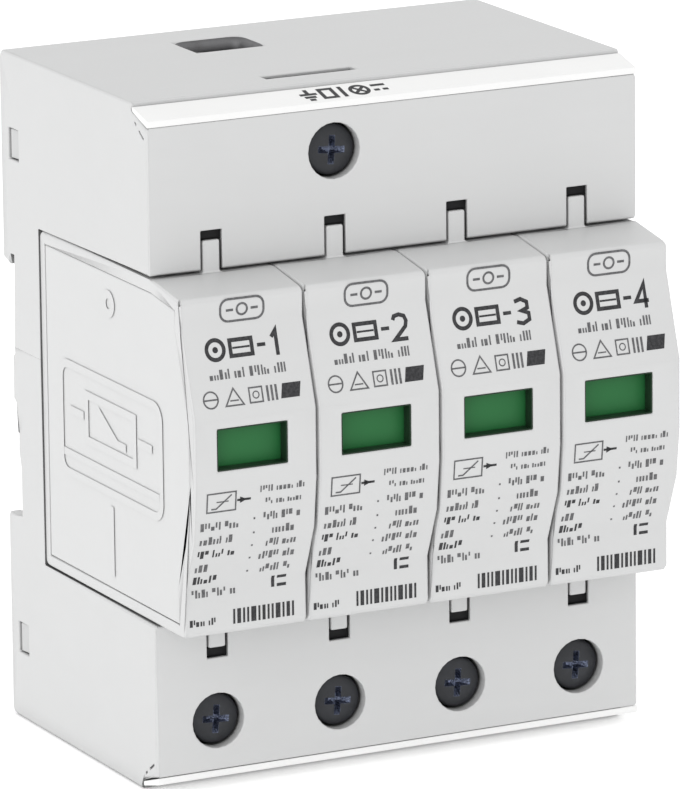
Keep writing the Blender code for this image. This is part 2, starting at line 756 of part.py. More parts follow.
def make_label_strip(name, sign, surface):
    front, rear, along, inward = strip_lines(outer_z(sign))
    lower_rear = rear + inward * STRIP_THICKNESS
    back_step = lower_rear + along * ((rear.x - lower_rear.x) / along.x)
    lower_front = front + inward * STRIP_THICKNESS
    front_step = lower_front - along * ((lower_front.x - SHOULDER_Y) / along.x)
    outline = [tuple(front), tuple(rear), tuple(back_step), tuple(front_step)]
    body = prism(name + " body", outline, -BASE_WIDTH / 2, BASE_WIDTH / 2)
    return place(name, take_mesh(mirrored(body, sign)), surface)


def make_screw_mesh():
    """One terminal screw about the origin's Y axis, with a cross recess in its head."""
    radius = HEAD_DIAMETER / 2
    edge = EDGE_SOFTENING
    shank = SHANK_DIAMETER / 2
    profile = [
        (HEAD_FRONT_Y, 0),
        (HEAD_FRONT_Y, radius - edge),
        (HEAD_FRONT_Y + edge, radius),
        (HEAD_REAR_Y, radius),
        (HEAD_REAR_Y, shank),
        (SCREW_TIP_Y - edge, shank),
        (SCREW_TIP_Y, shank - edge),
        (SCREW_TIP_Y, 0),
    ]
    body = turned("screw body", profile)
    half_long = RECESS_LENGTH / 2
    half_slot = RECESS_SLOT / 2
    depth_y = HEAD_FRONT_Y + RECESS_DEPTH
    mouth_y = HEAD_FRONT_Y - OUTSIDE
    cross = [
        box("recess across", (-half_long, mouth_y, -half_slot), (half_long, depth_y, half_slot)),
        box("recess upright", (-half_slot, mouth_y, -half_long), (half_slot, depth_y, half_long)),
    ]
    mesh = take_mesh(cut(body, cross))
    mesh.shade_smooth()
    mesh.set_sharp_from_angle(angle=math.radians(35))
    return mesh


def make_cage_mesh():
    """One lifting clamp cage about the screw's axis: a square tube open along Z, its front wall threaded."""
    half_x = CAGE_WIDTH / 2
    half_z = CAGE_HEIGHT / 2
    body = box("cage body", (-half_x, CAGE_FRONT_Y, -half_z), (half_x, CAGE_REAR_Y, half_z))
    round_upright_edges(body, EDGE_SOFTENING)
    window = box(
        "cage window",
        (-half_x + CAGE_SIDE, CAGE_FRONT_FACE_Y, -half_z - OUTSIDE),
        (half_x - CAGE_SIDE, CAGE_REAR_FACE_Y, half_z + OUTSIDE),
    )
    thread = rod("thread", (0, 0), SHANK_BORE, CAGE_FRONT_Y - OUTSIDE, CAGE_FRONT_FACE_Y + FIT_GAP)
    return take_mesh(cut(body, [window, thread]))


def terminal_bar(x):
    """One terminal's bent bar, drawn for the upper side: screw leg, run and clamping leg."""
    half = BAR_WIDTH / 2
    leg_half = CLAMP_LEG_WIDTH / 2
    front_leg_rear_y = FRONT_LEG_Y + BAR_THICKNESS
    run = box("bar run", (x - half, FRONT_LEG_Y, BAR_INNER), (x + half, FORK_REAR_Y, BAR_OUTER))
    front = box("front leg", (x - half, FRONT_LEG_Y, BAR_INNER), (x + half, front_leg_rear_y, LEG_END))
    clamp = box("clamp leg", (x - leg_half, LEG_FRONT_Y, BAR_INNER), (x + leg_half, LEG_REAR_Y, LEG_END))
    join(run, [front, clamp])
    hole = rod("leg hole", (x, TERMINAL_OFFSET), SHANK_BORE, FRONT_LEG_Y - OUTSIDE, FRONT_LEG_Y + OUTSIDE)
    return cut(run, [hole])


def fork_pad(x):
    """The pad over one blade, which carries the fork's leaves."""
    half = BAR_WIDTH / 2
    return box("fork pad", (x - half, FORK_FRONT_Y, BAR_INNER), (x + half, FORK_REAR_Y, BAR_OUTER))


def fork_leaves(x):
    """The two leaves that grip a module's blade, drawn for the upper side."""
    leaves = []
    for side in (-1, 1):
        near, far = sorted((side * FORK_INSIDE, side * FORK_OUTSIDE))
        root_z = BAR_INNER + BAR_THICKNESS / 2
        leaves.append(box("leaf", (x + near, FORK_FRONT_Y, FORK_TIP), (x + far, FORK_REAR_Y, root_z)))
    return leaves


def make_line_contact_mesh():
    bar = terminal_bar(0)
    join(bar, fork_leaves(0))
    return take_mesh(mirrored(bar, -1))


def make_earth_busbar(surface):
    reach = pole_x(POLE_COUNT - 1) + BAR_WIDTH / 2
    bar = box("busbar", (-reach, BUSBAR_REAR_Y - BUSBAR_WIDTH, BAR_INNER), (reach, BUSBAR_REAR_Y, BAR_OUTER))
    others = []
    for pole in range(POLE_COUNT):
        if pole != EARTH_POLE:
            others.append(fork_pad(pole_x(pole)))
        others += fork_leaves(pole_x(pole))
    join(bar, [terminal_bar(pole_x(EARTH_POLE))] + others)
    return place("earth_busbar", take_mesh(bar), surface)


def make_clip_mesh():
    """One rail clip about X = 0: a flanged slide with a hooked nose, a spring lug and a screwdriver slot."""
    outer_y = HOOK_Y + CLIP_THICKNESS
    outline = [
        (HOOK_Y, CLIP_NOSE_Z),
        (HOOK_Y + CLIP_THICKNESS / 3, CLIP_NOSE_Z),
        (outer_y, CLIP_NOSE_Z - CLIP_NOSE),
        (outer_y, CLIP_TAIL_Z),
        (HOOK_Y, CLIP_TAIL_Z),
    ]
    body = prism("clip body", outline, -CLIP_WIDTH / 2, CLIP_WIDTH / 2)
    flange_x = CLIP_WIDTH / 2 + CLIP_FLANGE_WIDTH
    flange = box(
        "clip flange", (-flange_x, HOOK_Y, CLIP_TAIL_Z), (flange_x, HOOK_Y + CLIP_FLANGE, CLIP_SHOULDER_Z)
    )
    lug = box(
        "clip lug",
        (-CLIP_LUG_WIDTH / 2, POCKET_Y + FIT_GAP, CLIP_LUG_TOP_Z - CLIP_LUG_HEIGHT),
        (CLIP_LUG_WIDTH / 2, HOOK_Y + CLIP_FLANGE / 2, CLIP_LUG_TOP_Z),
    )
    join(body, [flange, lug])
    slot_z = CLIP_TAIL_Z + CLIP_SLOT_HEIGHT
    slot = box(
        "driver slot",
        (-CLIP_SLOT_WIDTH / 2, HOOK_Y - OUTSIDE / 2, slot_z),
        (CLIP_SLOT_WIDTH / 2, outer_y + OUTSIDE, slot_z + CLIP_SLOT_HEIGHT),
    )
    return take_mesh(cut(body, [slot]))


def make_clip_spring_mesh():
    centre = (0, (POCKET_Y + HOOK_Y) / 2)
    ends = (CLIP_SPRING_LOW_Z, CLIP_SPRING_TOP_Z)
    return take_mesh(coil("clip spring", centre, CLIP_SPRING_RADIUS, CLIP_SPRING_WIRE, *ends))


def module_outline():
    """The side view of a module: flat rear, sloping brow and chin, and the window band proud of both."""
    low_y = SHOULDER_Y - NOSE_LOW
    chin_y = SHOULDER_Y - NOSE_CHIN
    return [
        (MODULE_REAR_Y, MODULE_HALF, MODULE_RADIUS),
        (SHOULDER_Y, MODULE_HALF, 0),
        (low_y, MODULE_HALF - TOP_SLOPE, MODULE_RADIUS),
        (low_y, MODULE_HALF - BROW_DROP, 0),
        (NOSE_Y, WINDOW_BAND_TOP, 0),
        (NOSE_Y, WINDOW_BAND_BOTTOM, 0),
        (chin_y, CHIN_RISE - MODULE_HALF, 0),
        (low_y, JAW_RISE - MODULE_HALF, 0),
        (low_y, -MODULE_HALF, MODULE_RADIUS),
        (MODULE_REAR_Y, -MODULE_HALF, MODULE_RADIUS),
    ]


def front_at(z):
    """How far forward a module's front lies at a height."""
    corners = [(y, height) for y, height, radius in module_outline()[2:9]]
    for (high_y, high_z), (low_y, low_z) in zip(corners, corners[1:]):
        if low_z <= z <= high_z:
            return low_y + (high_y - low_y) * (z - low_z) / (high_z - low_z)
    return corners[-1][0]


def blade_outline():
    """The side view of an upper blade: the tab that plugs in, and its strap inside the module."""
    inner_z = MODULE_HALF - BLADE_INNER
    strap_front_y = BLADE_FRONT_Y - STRAP_LENGTH
    return [
        (BLADE_REAR_Y, inner_z, 0),
        (BLADE_REAR_Y, RIB_END, 0.001),
        (BLADE_FRONT_Y, RIB_END, 0.001),
        (BLADE_FRONT_Y, inner_z + STRAP_HEIGHT, 0),
        (strap_front_y, inner_z + STRAP_HEIGHT, 0),
        (strap_front_y, inner_z, 0),
    ]


def make_module_shell_mesh():
    """A module's moulded tub, open on its left side, with the status window and the guide ribs."""
    half_x = MODULE_WIDTH / 2
    body = prism("shell body", rounded(module_outline()), -half_x, half_x, EDGE_SOFTENING)
    rib_x = GROOVE_WIDTH / 2 - FIT_GAP
    rib_front_y = SHOULDER_Y + FIT_GAP / 3
    ribs = []
    for sign in (1, -1):
        rib = box(
            "guide rib",
            (-rib_x, rib_front_y, MODULE_HALF - MODULE_WALL / 2),
            (rib_x, rib_front_y + RIB_LENGTH, RIB_END),
        )
        ribs.append(mirrored(rib, sign))
    join(body, ribs)
    cavity = prism("cavity", rounded(inset(module_outline(), MODULE_WALL)), -half_x - OUTSIDE, INNER_RIGHT)
    window = box(
        "window",
        (WINDOW_CENTRE_X - WINDOW_WIDTH / 2, NOSE_Y - OUTSIDE, WINDOW_LOW_Z),
        (WINDOW_CENTRE_X + WINDOW_WIDTH / 2, NOSE_Y + MODULE_WALL + OUTSIDE, WINDOW_HIGH_Z),
    )
    way_low = SLIDER_LOW_Z - SLIDER_TRAVEL - 2 * FIT_GAP
    way_high = SLIDER_HIGH_Z + FIT_GAP
    way = [
        (front_at(way_high) + WINDOW_WALL, way_high),
        (NOSE_Y + WINDOW_WALL, WINDOW_BAND_BOTTOM),
        (front_at(way_low) + WINDOW_WALL, way_low),
        (NOSE_Y + MODULE_WALL + OUTSIDE, way_low),
        (NOSE_Y + MODULE_WALL + OUTSIDE, way_high),
    ]
    slider_way = prism("slider way", way, INNER_LEFT, INNER_RIGHT)
    slots = []
    for sign in (1, -1):
        slot = box(
            "blade slot",
            (-BLADE_THICKNESS / 2 - FIT_GAP, BLADE_FRONT_Y - FIT_GAP, MODULE_HALF - MODULE_WALL - FIT_GAP),
            (BLADE_THICKNESS / 2 + FIT_GAP, BLADE_REAR_Y + FIT_GAP, MODULE_HALF + OUTSIDE),
        )
        slots.append(mirrored(slot, sign))
    return take_mesh(cut(body, [cavity, window, slider_way] + slots))


def make_side_cover_mesh():
    half_x = MODULE_WIDTH / 2
    outline = rounded(inset(module_outline(), MODULE_WALL + FIT_GAP))
    return take_mesh(prism("side cover body", outline, -half_x, -half_x + MODULE_SIDE))


def make_slider_mesh():
    """The green flag behind the window, with the arm that reaches back to its spring."""
    low_x = WINDOW_CENTRE_X - WINDOW_WIDTH / 2 - SLIDER_LAP
    high_x = INNER_RIGHT - FIT_GAP
    flag = box("flag", (low_x, SLIDER_FRONT_Y, SLIDER_LOW_Z), (high_x, SLIDER_REAR_Y, SLIDER_HIGH_Z))
    lug_low_y = SPRING_Y - SLIDER_LUG_DEPTH / 2
    lug_high_y = SPRING_Y + SLIDER_LUG_DEPTH / 2
    lug_high_z = SLIDER_LOW_Z + SLIDER_LUG_HEIGHT
    arm = box(
        "slider arm",
        (high_x - SLIDER_ARM, SLIDER_FRONT_Y + SLIDER_THICKNESS / 2, SLIDER_LOW_Z),
        (high_x, lug_high_y, lug_high_z),
    )
    lug = box(
        "slider lug",
        (SPRING_X - SLIDER_LUG_DEPTH / 2, lug_low_y, SLIDER_LOW_Z),
        (high_x - SLIDER_ARM / 2, lug_high_y, lug_high_z),
    )
    return take_mesh(join(flag, [arm, lug]))


def make_tripped_plate_mesh():
    low_x = INNER_LEFT + FIT_GAP
    high_x = INNER_RIGHT - FIT_GAP - SLIDER_ARM - FIT_GAP
    body = box("plate body", (low_x, PLATE_FRONT_Y, SLIDER_LOW_Z), (high_x, PLATE_REAR_Y, SLIDER_HIGH_Z))
    return take_mesh(body)


def make_trip_spring_mesh():
    low_z = SLIDER_LOW_Z + SLIDER_LUG_HEIGHT + FIT_GAP
    share = (SHOULDER_Y - SPRING_Y) / NOSE_LOW
    high_z = MODULE_HALF - TOP_SLOPE * share - MODULE_WALL - 2 * FIT_GAP
    spring = coil("trip spring", (SPRING_X, SPRING_Y), TRIP_SPRING_RADIUS, TRIP_SPRING_WIRE, low_z, high_z)
    return take_mesh(spring)


def make_varistor_mesh():
    """The coated varistor, a rounded block that lies against the module's right wall."""
    rear_y = MODULE_REAR_Y - VARISTOR_REAR
    front_y = SPRING_Y + SLIDER_LUG_DEPTH / 2 + VARISTOR_FRONT_GAP
    half_z = MODULE_HALF - BLADE_INNER - VARISTOR_BLADE_GAP
    corner = VARISTOR_CORNER
    outline = [
        (rear_y, half_z, corner),
        (front_y, half_z, corner),
        (front_y, -half_z, corner),
        (rear_y, -half_z, corner),
    ]
    high_x = INNER_RIGHT - FIT_GAP
    body = prism("varistor body", rounded(outline), high_x - VARISTOR_THICKNESS, high_x, VARISTOR_EDGE)
    mesh = take_mesh(body)
    mesh.shade_smooth()
    mesh.set_sharp_from_angle(angle=math.radians(50))
    return mesh


def make_blade_mesh(sign):
    body = prism("blade body", rounded(blade_outline()), -BLADE_THICKNESS / 2, BLADE_THICKNESS / 2)
    return take_mesh(mirrored(body, sign))


def empty(name, location, parent=None):
    made = bpy.data.objects.new(name, None)
    bpy.context.scene.collection.objects.link(made)
    made.location = location
    made.parent = parent
    return made


def make_base(surfaces):
    """Everything that stays on the rail."""
    make_base_housing(surfaces["housing"])
    make_rear_cover(surfaces["rear"])
    make_label_strip("label_strip_top", 1, surfaces["label"])
    make_label_strip("label_strip_bottom", -1, surfaces["label"])
    screw_mesh = make_screw_mesh()
    cage_mesh = make_cage_mesh()
    contact_mesh = make_line_contact_mesh()
    terminals = [("line_%d" % (pole + 1), pole_x(pole), -1) for pole in range(POLE_COUNT)]
    terminals.append(("earth", pole_x(EARTH_POLE), 1))
    for name, x, sign in terminals:
        axis = empty("axis_" + name, (x, 0, sign * TERMINAL_OFFSET))
        place("terminal_screw_" + name, screw_mesh, surfaces["screw"], axis)
        place("clamp_cage_" + name, cage_mesh, surfaces["steel"], axis)
    for pole in range(POLE_COUNT):
        place("line_contact_%d" % (pole + 1), contact_mesh, surfaces["copper"], None, (pole_x(pole), 0, 0))
    make_earth_busbar(surfaces["copper"])
    clip_mesh = make_clip_mesh()
    spring_mesh = make_clip_spring_mesh()
    for side, x in zip(("left", "right"), CLIP_CENTRES):
        place("rail_clip_" + side, clip_mesh, surfaces["clip"], None, (x, 0, 0))
        place("clip_spring_" + side, spring_mesh, surfaces["steel"], None, (x, 0, 0))


def make_modules(surfaces):
    """The plug-in modules, alike on every pole."""
    pieces = (
        ("module_shell", make_module_shell_mesh(), "shell"),
        ("module_side_cover", make_side_cover_mesh(), "shell"),
        ("status_slider", make_slider_mesh(), "green"),
        ("tripped_plate", make_tripped_plate_mesh(), "red"),
        ("trip_spring", make_trip_spring_mesh(), "steel"),
        ("varistor", make_varistor_mesh(), "varistor"),
        ("upper_blade", make_blade_mesh(1), "copper"),
        ("lower_blade", make_blade_mesh(-1), "copper"),
    )
    for pole in range(POLE_COUNT):
        holder = empty("module_%d" % (pole + 1), (pole_x(pole), 0, 0))
        for name, mesh, surface in pieces:
            place("%s_%d" % (name, pole + 1), mesh, surfaces[surface], holder)


def main():
    clear_scene()
    surfaces = {
        "housing": material("base_plastic", (0.70, 0.71, 0.71), 0.45),
        "rear": material("rear_cover_plastic", (0.66, 0.67, 0.67), 0.5),
        "label": material("label_strip_plastic", (0.90, 0.90, 0.89), 0.4),
        "shell": material("module_plastic", (0.72, 0.73, 0.73), 0.42),
        "green": material("status_green", (0.05, 0.18, 0.06), 0.4),
        "red": material("tripped_red", (0.55, 0.03, 0.02), 0.4),
        "screw": material("blackened_screw", (0.03, 0.03, 0.035), 0.35, 0.8),
        "steel": material("zinc_plated_steel", (0.55, 0.56, 0.57), 0.35, 1.0),
        "copper": material("tinned_copper", (0.62, 0.58, 0.52), 0.3, 1.0),
        "varistor": material("varistor_coating", (0.02, 0.08, 0.30), 0.5),
        "clip": material("clip_plastic", (0.08, 0.08, 0.085), 0.5),
    }
    make_base(surfaces)
    make_modules(surfaces)


main()
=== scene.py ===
import json
import math
import random

import bmesh
import bpy
from mathutils import Matrix, Vector

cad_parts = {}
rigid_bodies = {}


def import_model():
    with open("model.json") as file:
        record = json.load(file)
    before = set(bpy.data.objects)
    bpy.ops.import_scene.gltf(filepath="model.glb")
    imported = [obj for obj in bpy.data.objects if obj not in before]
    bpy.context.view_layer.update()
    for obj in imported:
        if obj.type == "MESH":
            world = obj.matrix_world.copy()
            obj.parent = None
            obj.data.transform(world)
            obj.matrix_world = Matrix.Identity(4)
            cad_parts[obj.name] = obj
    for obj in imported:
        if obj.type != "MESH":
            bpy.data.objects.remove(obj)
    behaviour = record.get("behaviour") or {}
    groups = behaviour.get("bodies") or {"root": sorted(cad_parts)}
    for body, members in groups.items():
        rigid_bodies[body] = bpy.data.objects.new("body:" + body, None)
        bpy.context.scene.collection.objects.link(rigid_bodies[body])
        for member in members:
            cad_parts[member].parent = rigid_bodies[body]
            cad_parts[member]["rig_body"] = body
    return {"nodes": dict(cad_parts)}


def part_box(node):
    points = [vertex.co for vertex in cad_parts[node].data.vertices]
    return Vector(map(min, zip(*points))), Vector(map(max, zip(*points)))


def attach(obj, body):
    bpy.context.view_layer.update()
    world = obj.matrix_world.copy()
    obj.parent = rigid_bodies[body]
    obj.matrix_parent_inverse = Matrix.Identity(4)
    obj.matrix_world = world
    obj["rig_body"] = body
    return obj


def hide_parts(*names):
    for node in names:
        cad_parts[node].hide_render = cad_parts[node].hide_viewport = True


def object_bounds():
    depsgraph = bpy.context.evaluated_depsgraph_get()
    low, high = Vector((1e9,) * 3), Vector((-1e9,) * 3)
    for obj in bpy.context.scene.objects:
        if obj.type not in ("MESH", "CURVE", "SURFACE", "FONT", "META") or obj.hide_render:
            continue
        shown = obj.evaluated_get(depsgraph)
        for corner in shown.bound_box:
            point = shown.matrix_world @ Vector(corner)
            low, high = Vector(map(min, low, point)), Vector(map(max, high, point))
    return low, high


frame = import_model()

# The rail surge arrester as it looks: a grey base, four plug-in modules and five black screws.
# Sizes in the dictionaries are in millimetres, angles in degrees.

mm = 0.001
nodes = frame["nodes"]
cadLow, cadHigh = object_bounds()
poles = (1, 2, 3, 4)
print("frame loaded:", len(nodes), "nodes")


def poleMiddle(pole):
    low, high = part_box("module_shell_%d" % pole)
    return (low.x + high.x) / 2


view = {
    "aim": (0, -21.6, -0.5), "turn": 26.636, "rise": 13.824, "roll": -0.640,
    "shiftRight": -1.504, "shiftUp": 0.305, "away": 1000, "lens": 348.62,
}


def addCamera():
    turn, rise, roll = (math.radians(view[key]) for key in ("turn", "rise", "roll"))
    back = Vector((
        -math.sin(turn) * math.cos(rise), -math.cos(turn) * math.cos(rise), math.sin(rise),
    ))
    right = Vector((0, 0, 1)).cross(back).normalized()
    up = back.cross(right)
    across = right * math.cos(roll) + up * math.sin(roll)
    upward = up * math.cos(roll) - right * math.sin(roll)
    place = Vector(view["aim"]) + back * view["away"]
    place -= across * view["shiftRight"] + upward * view["shiftUp"]
    data = bpy.data.cameras.new("camera")
    data.sensor_width = 36
    data.lens = view["lens"]
    data.clip_start = 0.05
    data.clip_end = 20
    camera = bpy.data.objects.new("camera", data)
    bpy.context.scene.collection.objects.link(camera)
    axes = Matrix((across, upward, back)).transposed()
    camera.matrix_world = Matrix.Translation(place * mm) @ axes.to_4x4()
    bpy.context.scene.camera = camera


addCamera()
print("camera set")


class Wire:
    # one number coming out of a node: sums on it add Math nodes
    def __init__(self, paint, socket):
        self.paint = paint
        self.socket = socket

    def work(self, operation, first, second):
        values = {0: first, 1: second}
        return self.paint.node("ShaderNodeMath", {"operation": operation}, values)["Value"]

    def __add__(self, other):
        return self.work("ADD", self, other)

    def __radd__(self, other):
        return self.work("ADD", other, self)

    def __sub__(self, other):
        return self.work("SUBTRACT", self, other)

    def __rsub__(self, other):
        return self.work("SUBTRACT", other, self)

    def __mul__(self, other):
        return self.work("MULTIPLY", self, other)

    def __rmul__(self, other):
        return self.work("MULTIPLY", other, self)

    def __pow__(self, other):
        return self.work("POWER", self, other)


class Outputs:
    # a node's outputs by name
    def __init__(self, paint, made):
        self.paint = paint
        self.made = made

    def __getitem__(self, name):
        return Wire(self.paint, self.made.outputs[name])


class Paint:
    # one material on the Principled shader
    def __init__(self, name, **plain):
        self.material = bpy.data.materials.new(name)
        self.material.use_nodes = True
        self.tree = self.material.node_tree
        self.shader = self.tree.nodes["Principled BSDF"]
        self.feed(self.shader, {key.replace("_", " "): value for key, value in plain.items()})
        self.spot = self.node("ShaderNodeTexCoord", {}, {})["Object"]

    def node(self, kind, settings, values):
        made = self.tree.nodes.new(kind)
        for key, value in settings.items():
            if key == "stops":
                ramp = made.color_ramp
                while len(ramp.elements) < len(value):
                    ramp.elements.new(0.5)
                for element, (place, shade) in zip(ramp.elements, value):
                    element.position = place
                    plain = isinstance(shade, (int, float))
                    element.color = (shade, shade, shade, 1) if plain else (*shade, 1)
            else:
                setattr(made, key, value)
        self.feed(made, values)
        return Outputs(self, made)

    def feed(self, made, values):
        for key, value in values.items():
            if isinstance(value, Wire):
                self.tree.links.new(value.socket, made.inputs[key])
            elif isinstance(value, tuple) and len(value) == 3 and made.inputs[key].type == "RGBA":
                made.inputs[key].default_value = (*value, 1)
            else:
                made.inputs[key].default_value = value

    def stretched(self, x, y, z):
        values = {0: self.spot, 1: (x, y, z)}
        return self.node("ShaderNodeVectorMath", {"operation": "MULTIPLY"}, values)["Vector"]

    def noise(self, size, detail=2.0, rough=0.5, where=None):
        # even noise whose patches are about this many millimetres across, from 0 to 1
        values = {
            "Vector": where or self.spot, "Scale": 1000 / size, "Detail": detail, "Roughness": rough,
        }
        return self.node("ShaderNodeTexNoise", {}, values)["Fac"]

    def dots(self, size, where=None):
        values = {"Vector": where or self.spot, "Scale": 1000 / size}
        return self.node("ShaderNodeTexVoronoi", {"feature": "F1"}, values)["Distance"]

    def ramp(self, wire, *stops):
        return self.node("ShaderNodeValToRGB", {"stops": stops}, {"Fac": wire})["Color"]

    def between(self, wire, low, high):
        # 0 below the low value, 1 above the high one
        settings = {"interpolation_type": "SMOOTHSTEP"}
        values = {"Value": wire, "From Min": low, "From Max": high}
        return self.node("ShaderNodeMapRange", settings, values)["Result"]

    def mixColour(self, share, first, second):
        # a Mix node has its colours on inputs 6 and 7 and gives their mix on output 2
        return self.node("ShaderNodeMix", {"data_type": "RGBA"}, {0: share, 6: first, 7: second})[2]

    def edges(self, reach):
        # 1 on edges and corners within this many millimetres, 0 on flats
        soft = self.node("ShaderNodeBevel", {"samples": 4}, {"Radius": reach * mm})["Normal"]
        flat = self.node("ShaderNodeNewGeometry", {}, {})["Normal"]
        product = {"operation": "DOT_PRODUCT"}
        facing = self.node("ShaderNodeVectorMath", product, {0: soft, 1: flat})["Value"]
        return self.between(facing, 0.99, 0.80)

    def recess(self, reach):
        # 0 in the open, 1 deep in gaps, bores and slots narrower than this many millimetres
        values = {"Distance": reach * mm}
        clear = self.node("ShaderNodeAmbientOcclusion", {"samples": 6}, values)["AO"]
        return self.between(clear, 0.54, 0.14)

    def bump(self, height, depth, strength=1.0):
        values = {"Height": height, "Distance": depth * mm, "Strength": strength}
        return self.node("ShaderNodeBump", {}, values)["Normal"]

    def cover(self, **wires):
        self.feed(self.shader, {key.replace("_", " "): value for key, value in wires.items()})
        return self.material


plastics = {
    "basePlastic": {
        "colour": (0.565, 0.568, 0.568), "worn": (0.64, 0.64, 0.64),
        "grain": 0.17, "depth": 0.010, "rough": (0.40, 0.52), "gaps": 0.85,
    },
    "modulePlastic": {
        "colour": (0.575, 0.578, 0.578), "worn": (0.66, 0.66, 0.66),
        "grain": 0.14, "depth": 0.008, "rough": (0.37, 0.48), "gaps": 0.2,
    },
    "rearPlastic": {
        "colour": (0.52, 0.523, 0.523), "worn": (0.60, 0.60, 0.60),
        "grain": 0.25, "depth": 0.014, "rough": (0.46, 0.60), "gaps": 0.5,
    },
    "clipPlastic": {
        "colour": (0.030, 0.030, 0.032), "worn": (0.075, 0.075, 0.078),
        "grain": 0.30, "depth": 0.014, "rough": (0.42, 0.58), "gaps": 0.3,
    },
}


def mouldedPlastic(name):
    # spark-grained skin, faint flow lines, handling scuffs, edges worn smooth and pale, and painted shade
    # deep in gaps, bores and slots
    look = plastics[name]
    paint = Paint(name, Specular_IOR_Level=0.42)
    cloud = paint.noise(14, 2)
    fleck = paint.noise(0.5, 3)
    grain = paint.noise(look["grain"], 2, 0.6)
    peel = paint.noise(1.8, 2)
    flow = paint.noise(6, 3, 0.55, paint.stretched(0.35, 1, 2.2))
    scuff = paint.between(paint.noise(0.35, 2, 0.5, paint.stretched(1, 1, 0.04)), 0.70, 0.76)
    shade = tuple(part * 0.965 for part in look["colour"])
    light = tuple(part * 1.03 for part in look["colour"])
    colour = paint.mixColour(cloud * 0.6 + flow * 0.4, shade, light)
    colour = paint.mixColour(paint.between(fleck, 0.70, 0.84) * 0.35, colour, shade)
    wear = paint.edges(0.18) * paint.between(fleck, 0.30, 0.62)
    colour = paint.mixColour(wear * 0.5, colour, look["worn"])
    # painted shade: the colour darkens towards a near-black copy where ambient occlusion finds a gap, bore
    # or slot
    gapShade = tuple(part * 0.12 for part in shade)
    colour = paint.mixColour(paint.recess(6) * look["gaps"], colour, gapShade)
    low, high = look["rough"]
    rough = low + (high - low) * fleck + 0.06 * (cloud - 0.5) - 0.10 * scuff - 0.05 * wear
    height = grain * 0.8 + fleck * 0.25 + peel * 0.6
    return paint.cover(Base_Color=colour, Roughness=rough, Normal=paint.bump(height, look["depth"]))


def satinPlastic(name, dark, light, rough, shine=0.5):
    # smooth coloured or white plastic with a light satin skin
    paint = Paint(name, Specular_IOR_Level=shine)
    cloud = paint.noise(9, 3)
    dust = paint.between(paint.dots(0.9), 0.10, 0.03) * paint.between(paint.noise(4, 2), 0.5, 0.62)
    brush = paint.noise(0.22, 3, 0.6, paint.stretched(0.12, 1, 1))
    colour = paint.mixColour(cloud, dark, light)
    dusty = tuple(min(part * 1.3 + 0.05, 0.9) for part in light)
    colour = paint.mixColour(dust * 0.25, colour, dusty)
    rough = rough + 0.10 * (brush - 0.5) + 0.12 * dust
    return paint.cover(Base_Color=colour, Roughness=rough, Normal=paint.bump(brush + cloud, 0.003))


def blackSteel(name):
    # blackened steel: brown-blue oxide, oily sheen, and bare metal at worn edges, which is painted light
    # blue there as a painted highlight
    paint = Paint(name, Specular_IOR_Level=0.5)
    cloud = paint.noise(1.6, 3)
    fine = paint.noise(0.12, 3, 0.6)
    rubbedAndGlint = paint.edges(0.20) * paint.between(paint.noise(0.6, 3), 0.42, 0.66)
    colour = paint.mixColour(cloud, (0.014, 0.015, 0.017), (0.028, 0.030, 0.036))
    # partly painted highlight: the worn edges are real, their light bluish colour stands for glints
    colour = paint.mixColour(rubbedAndGlint * 0.7, colour, (0.22, 0.27, 0.40))
    metal, rough = 0.25 + 0.55 * rubbedAndGlint, 0.44 + 0.16 * fine - 0.14 * rubbedAndGlint
    return paint.cover(
        Base_Color=colour, Metallic=metal, Roughness=rough, Normal=paint.bump(fine, 0.006),
    )


def drivenSteel(name):
    # the walls of a driver recess: bluish steel scraped bare in streaks, the streaks painted light blue as
    # a painted highlight
    paint = Paint(name, Specular_IOR_Level=0.5, Metallic=0.85)
    scrapeAndGlint = paint.between(paint.noise(0.14, 3, 0.6, paint.stretched(1, 0.2, 1)), 0.35, 0.65)
    # partly painted highlight: the scraped streaks are real, their light bluish colour stands for glints
    # in the recess
    colour = paint.mixColour(scrapeAndGlint, (0.030, 0.034, 0.048), (0.20, 0.23, 0.33))
    return paint.cover(
        Base_Color=colour, Roughness=0.46 - 0.14 * scrapeAndGlint, Normal=paint.bump(scrapeAndGlint, 0.01),
    )


def platedMetal(name, dark, light, spotColour, rough):
    # zinc or tin plating with rolling marks along one way and faint stains
    paint = Paint(name)
    rolled = paint.noise(0.10, 3, 0.6, paint.stretched(1, 0.06, 0.4))
    stain = paint.between(paint.noise(3.5, 4, 0.6), 0.50, 0.72)
    colour = paint.mixColour(rolled, dark, light)
    colour = paint.mixColour(stain * 0.5, colour, spotColour)
    wear = paint.edges(0.15)
    return paint.cover(
        Base_Color=colour,
        Metallic=1 - 0.15 * stain,
        Roughness=rough + 0.14 * (rolled - 0.5) + 0.18 * stain - 0.08 * wear,
        Normal=paint.bump(rolled, 0.004),
    )


def dippedCoat(name):
    # the varistor's dipped coat: glossy, a little lumpy, with pinholes
    paint = Paint(name, Specular_IOR_Level=0.5)
    lumps = paint.noise(2.4, 3)
    pin = paint.between(paint.dots(0.8), 0.12, 0.04)
    colour = paint.mixColour(lumps, (0.015, 0.055, 0.20), (0.03, 0.10, 0.33))
    return paint.cover(
        Base_Color=paint.mixColour(pin * 0.5, colour, (0.01, 0.03, 0.10)),
        Roughness=0.30 + 0.15 * lumps + 0.3 * pin,
        Normal=paint.bump(lumps - 0.4 * pin, 0.08),
    )


def printedInk(name, dark, light):
    # pad-printed ink: slightly uneven, thinner in places
    paint = Paint(name, Specular_IOR_Level=0.35)
    patch = paint.noise(0.35, 3, 0.6)
    fine = paint.noise(0.08, 2)
    colour = paint.mixColour(paint.between(patch, 0.30, 0.75), dark, light)
    return paint.cover(
        Base_Color=colour, Roughness=0.42 + 0.2 * patch, Normal=paint.bump(fine, 0.003),
    )


finish = {name: mouldedPlastic(name) for name in plastics}
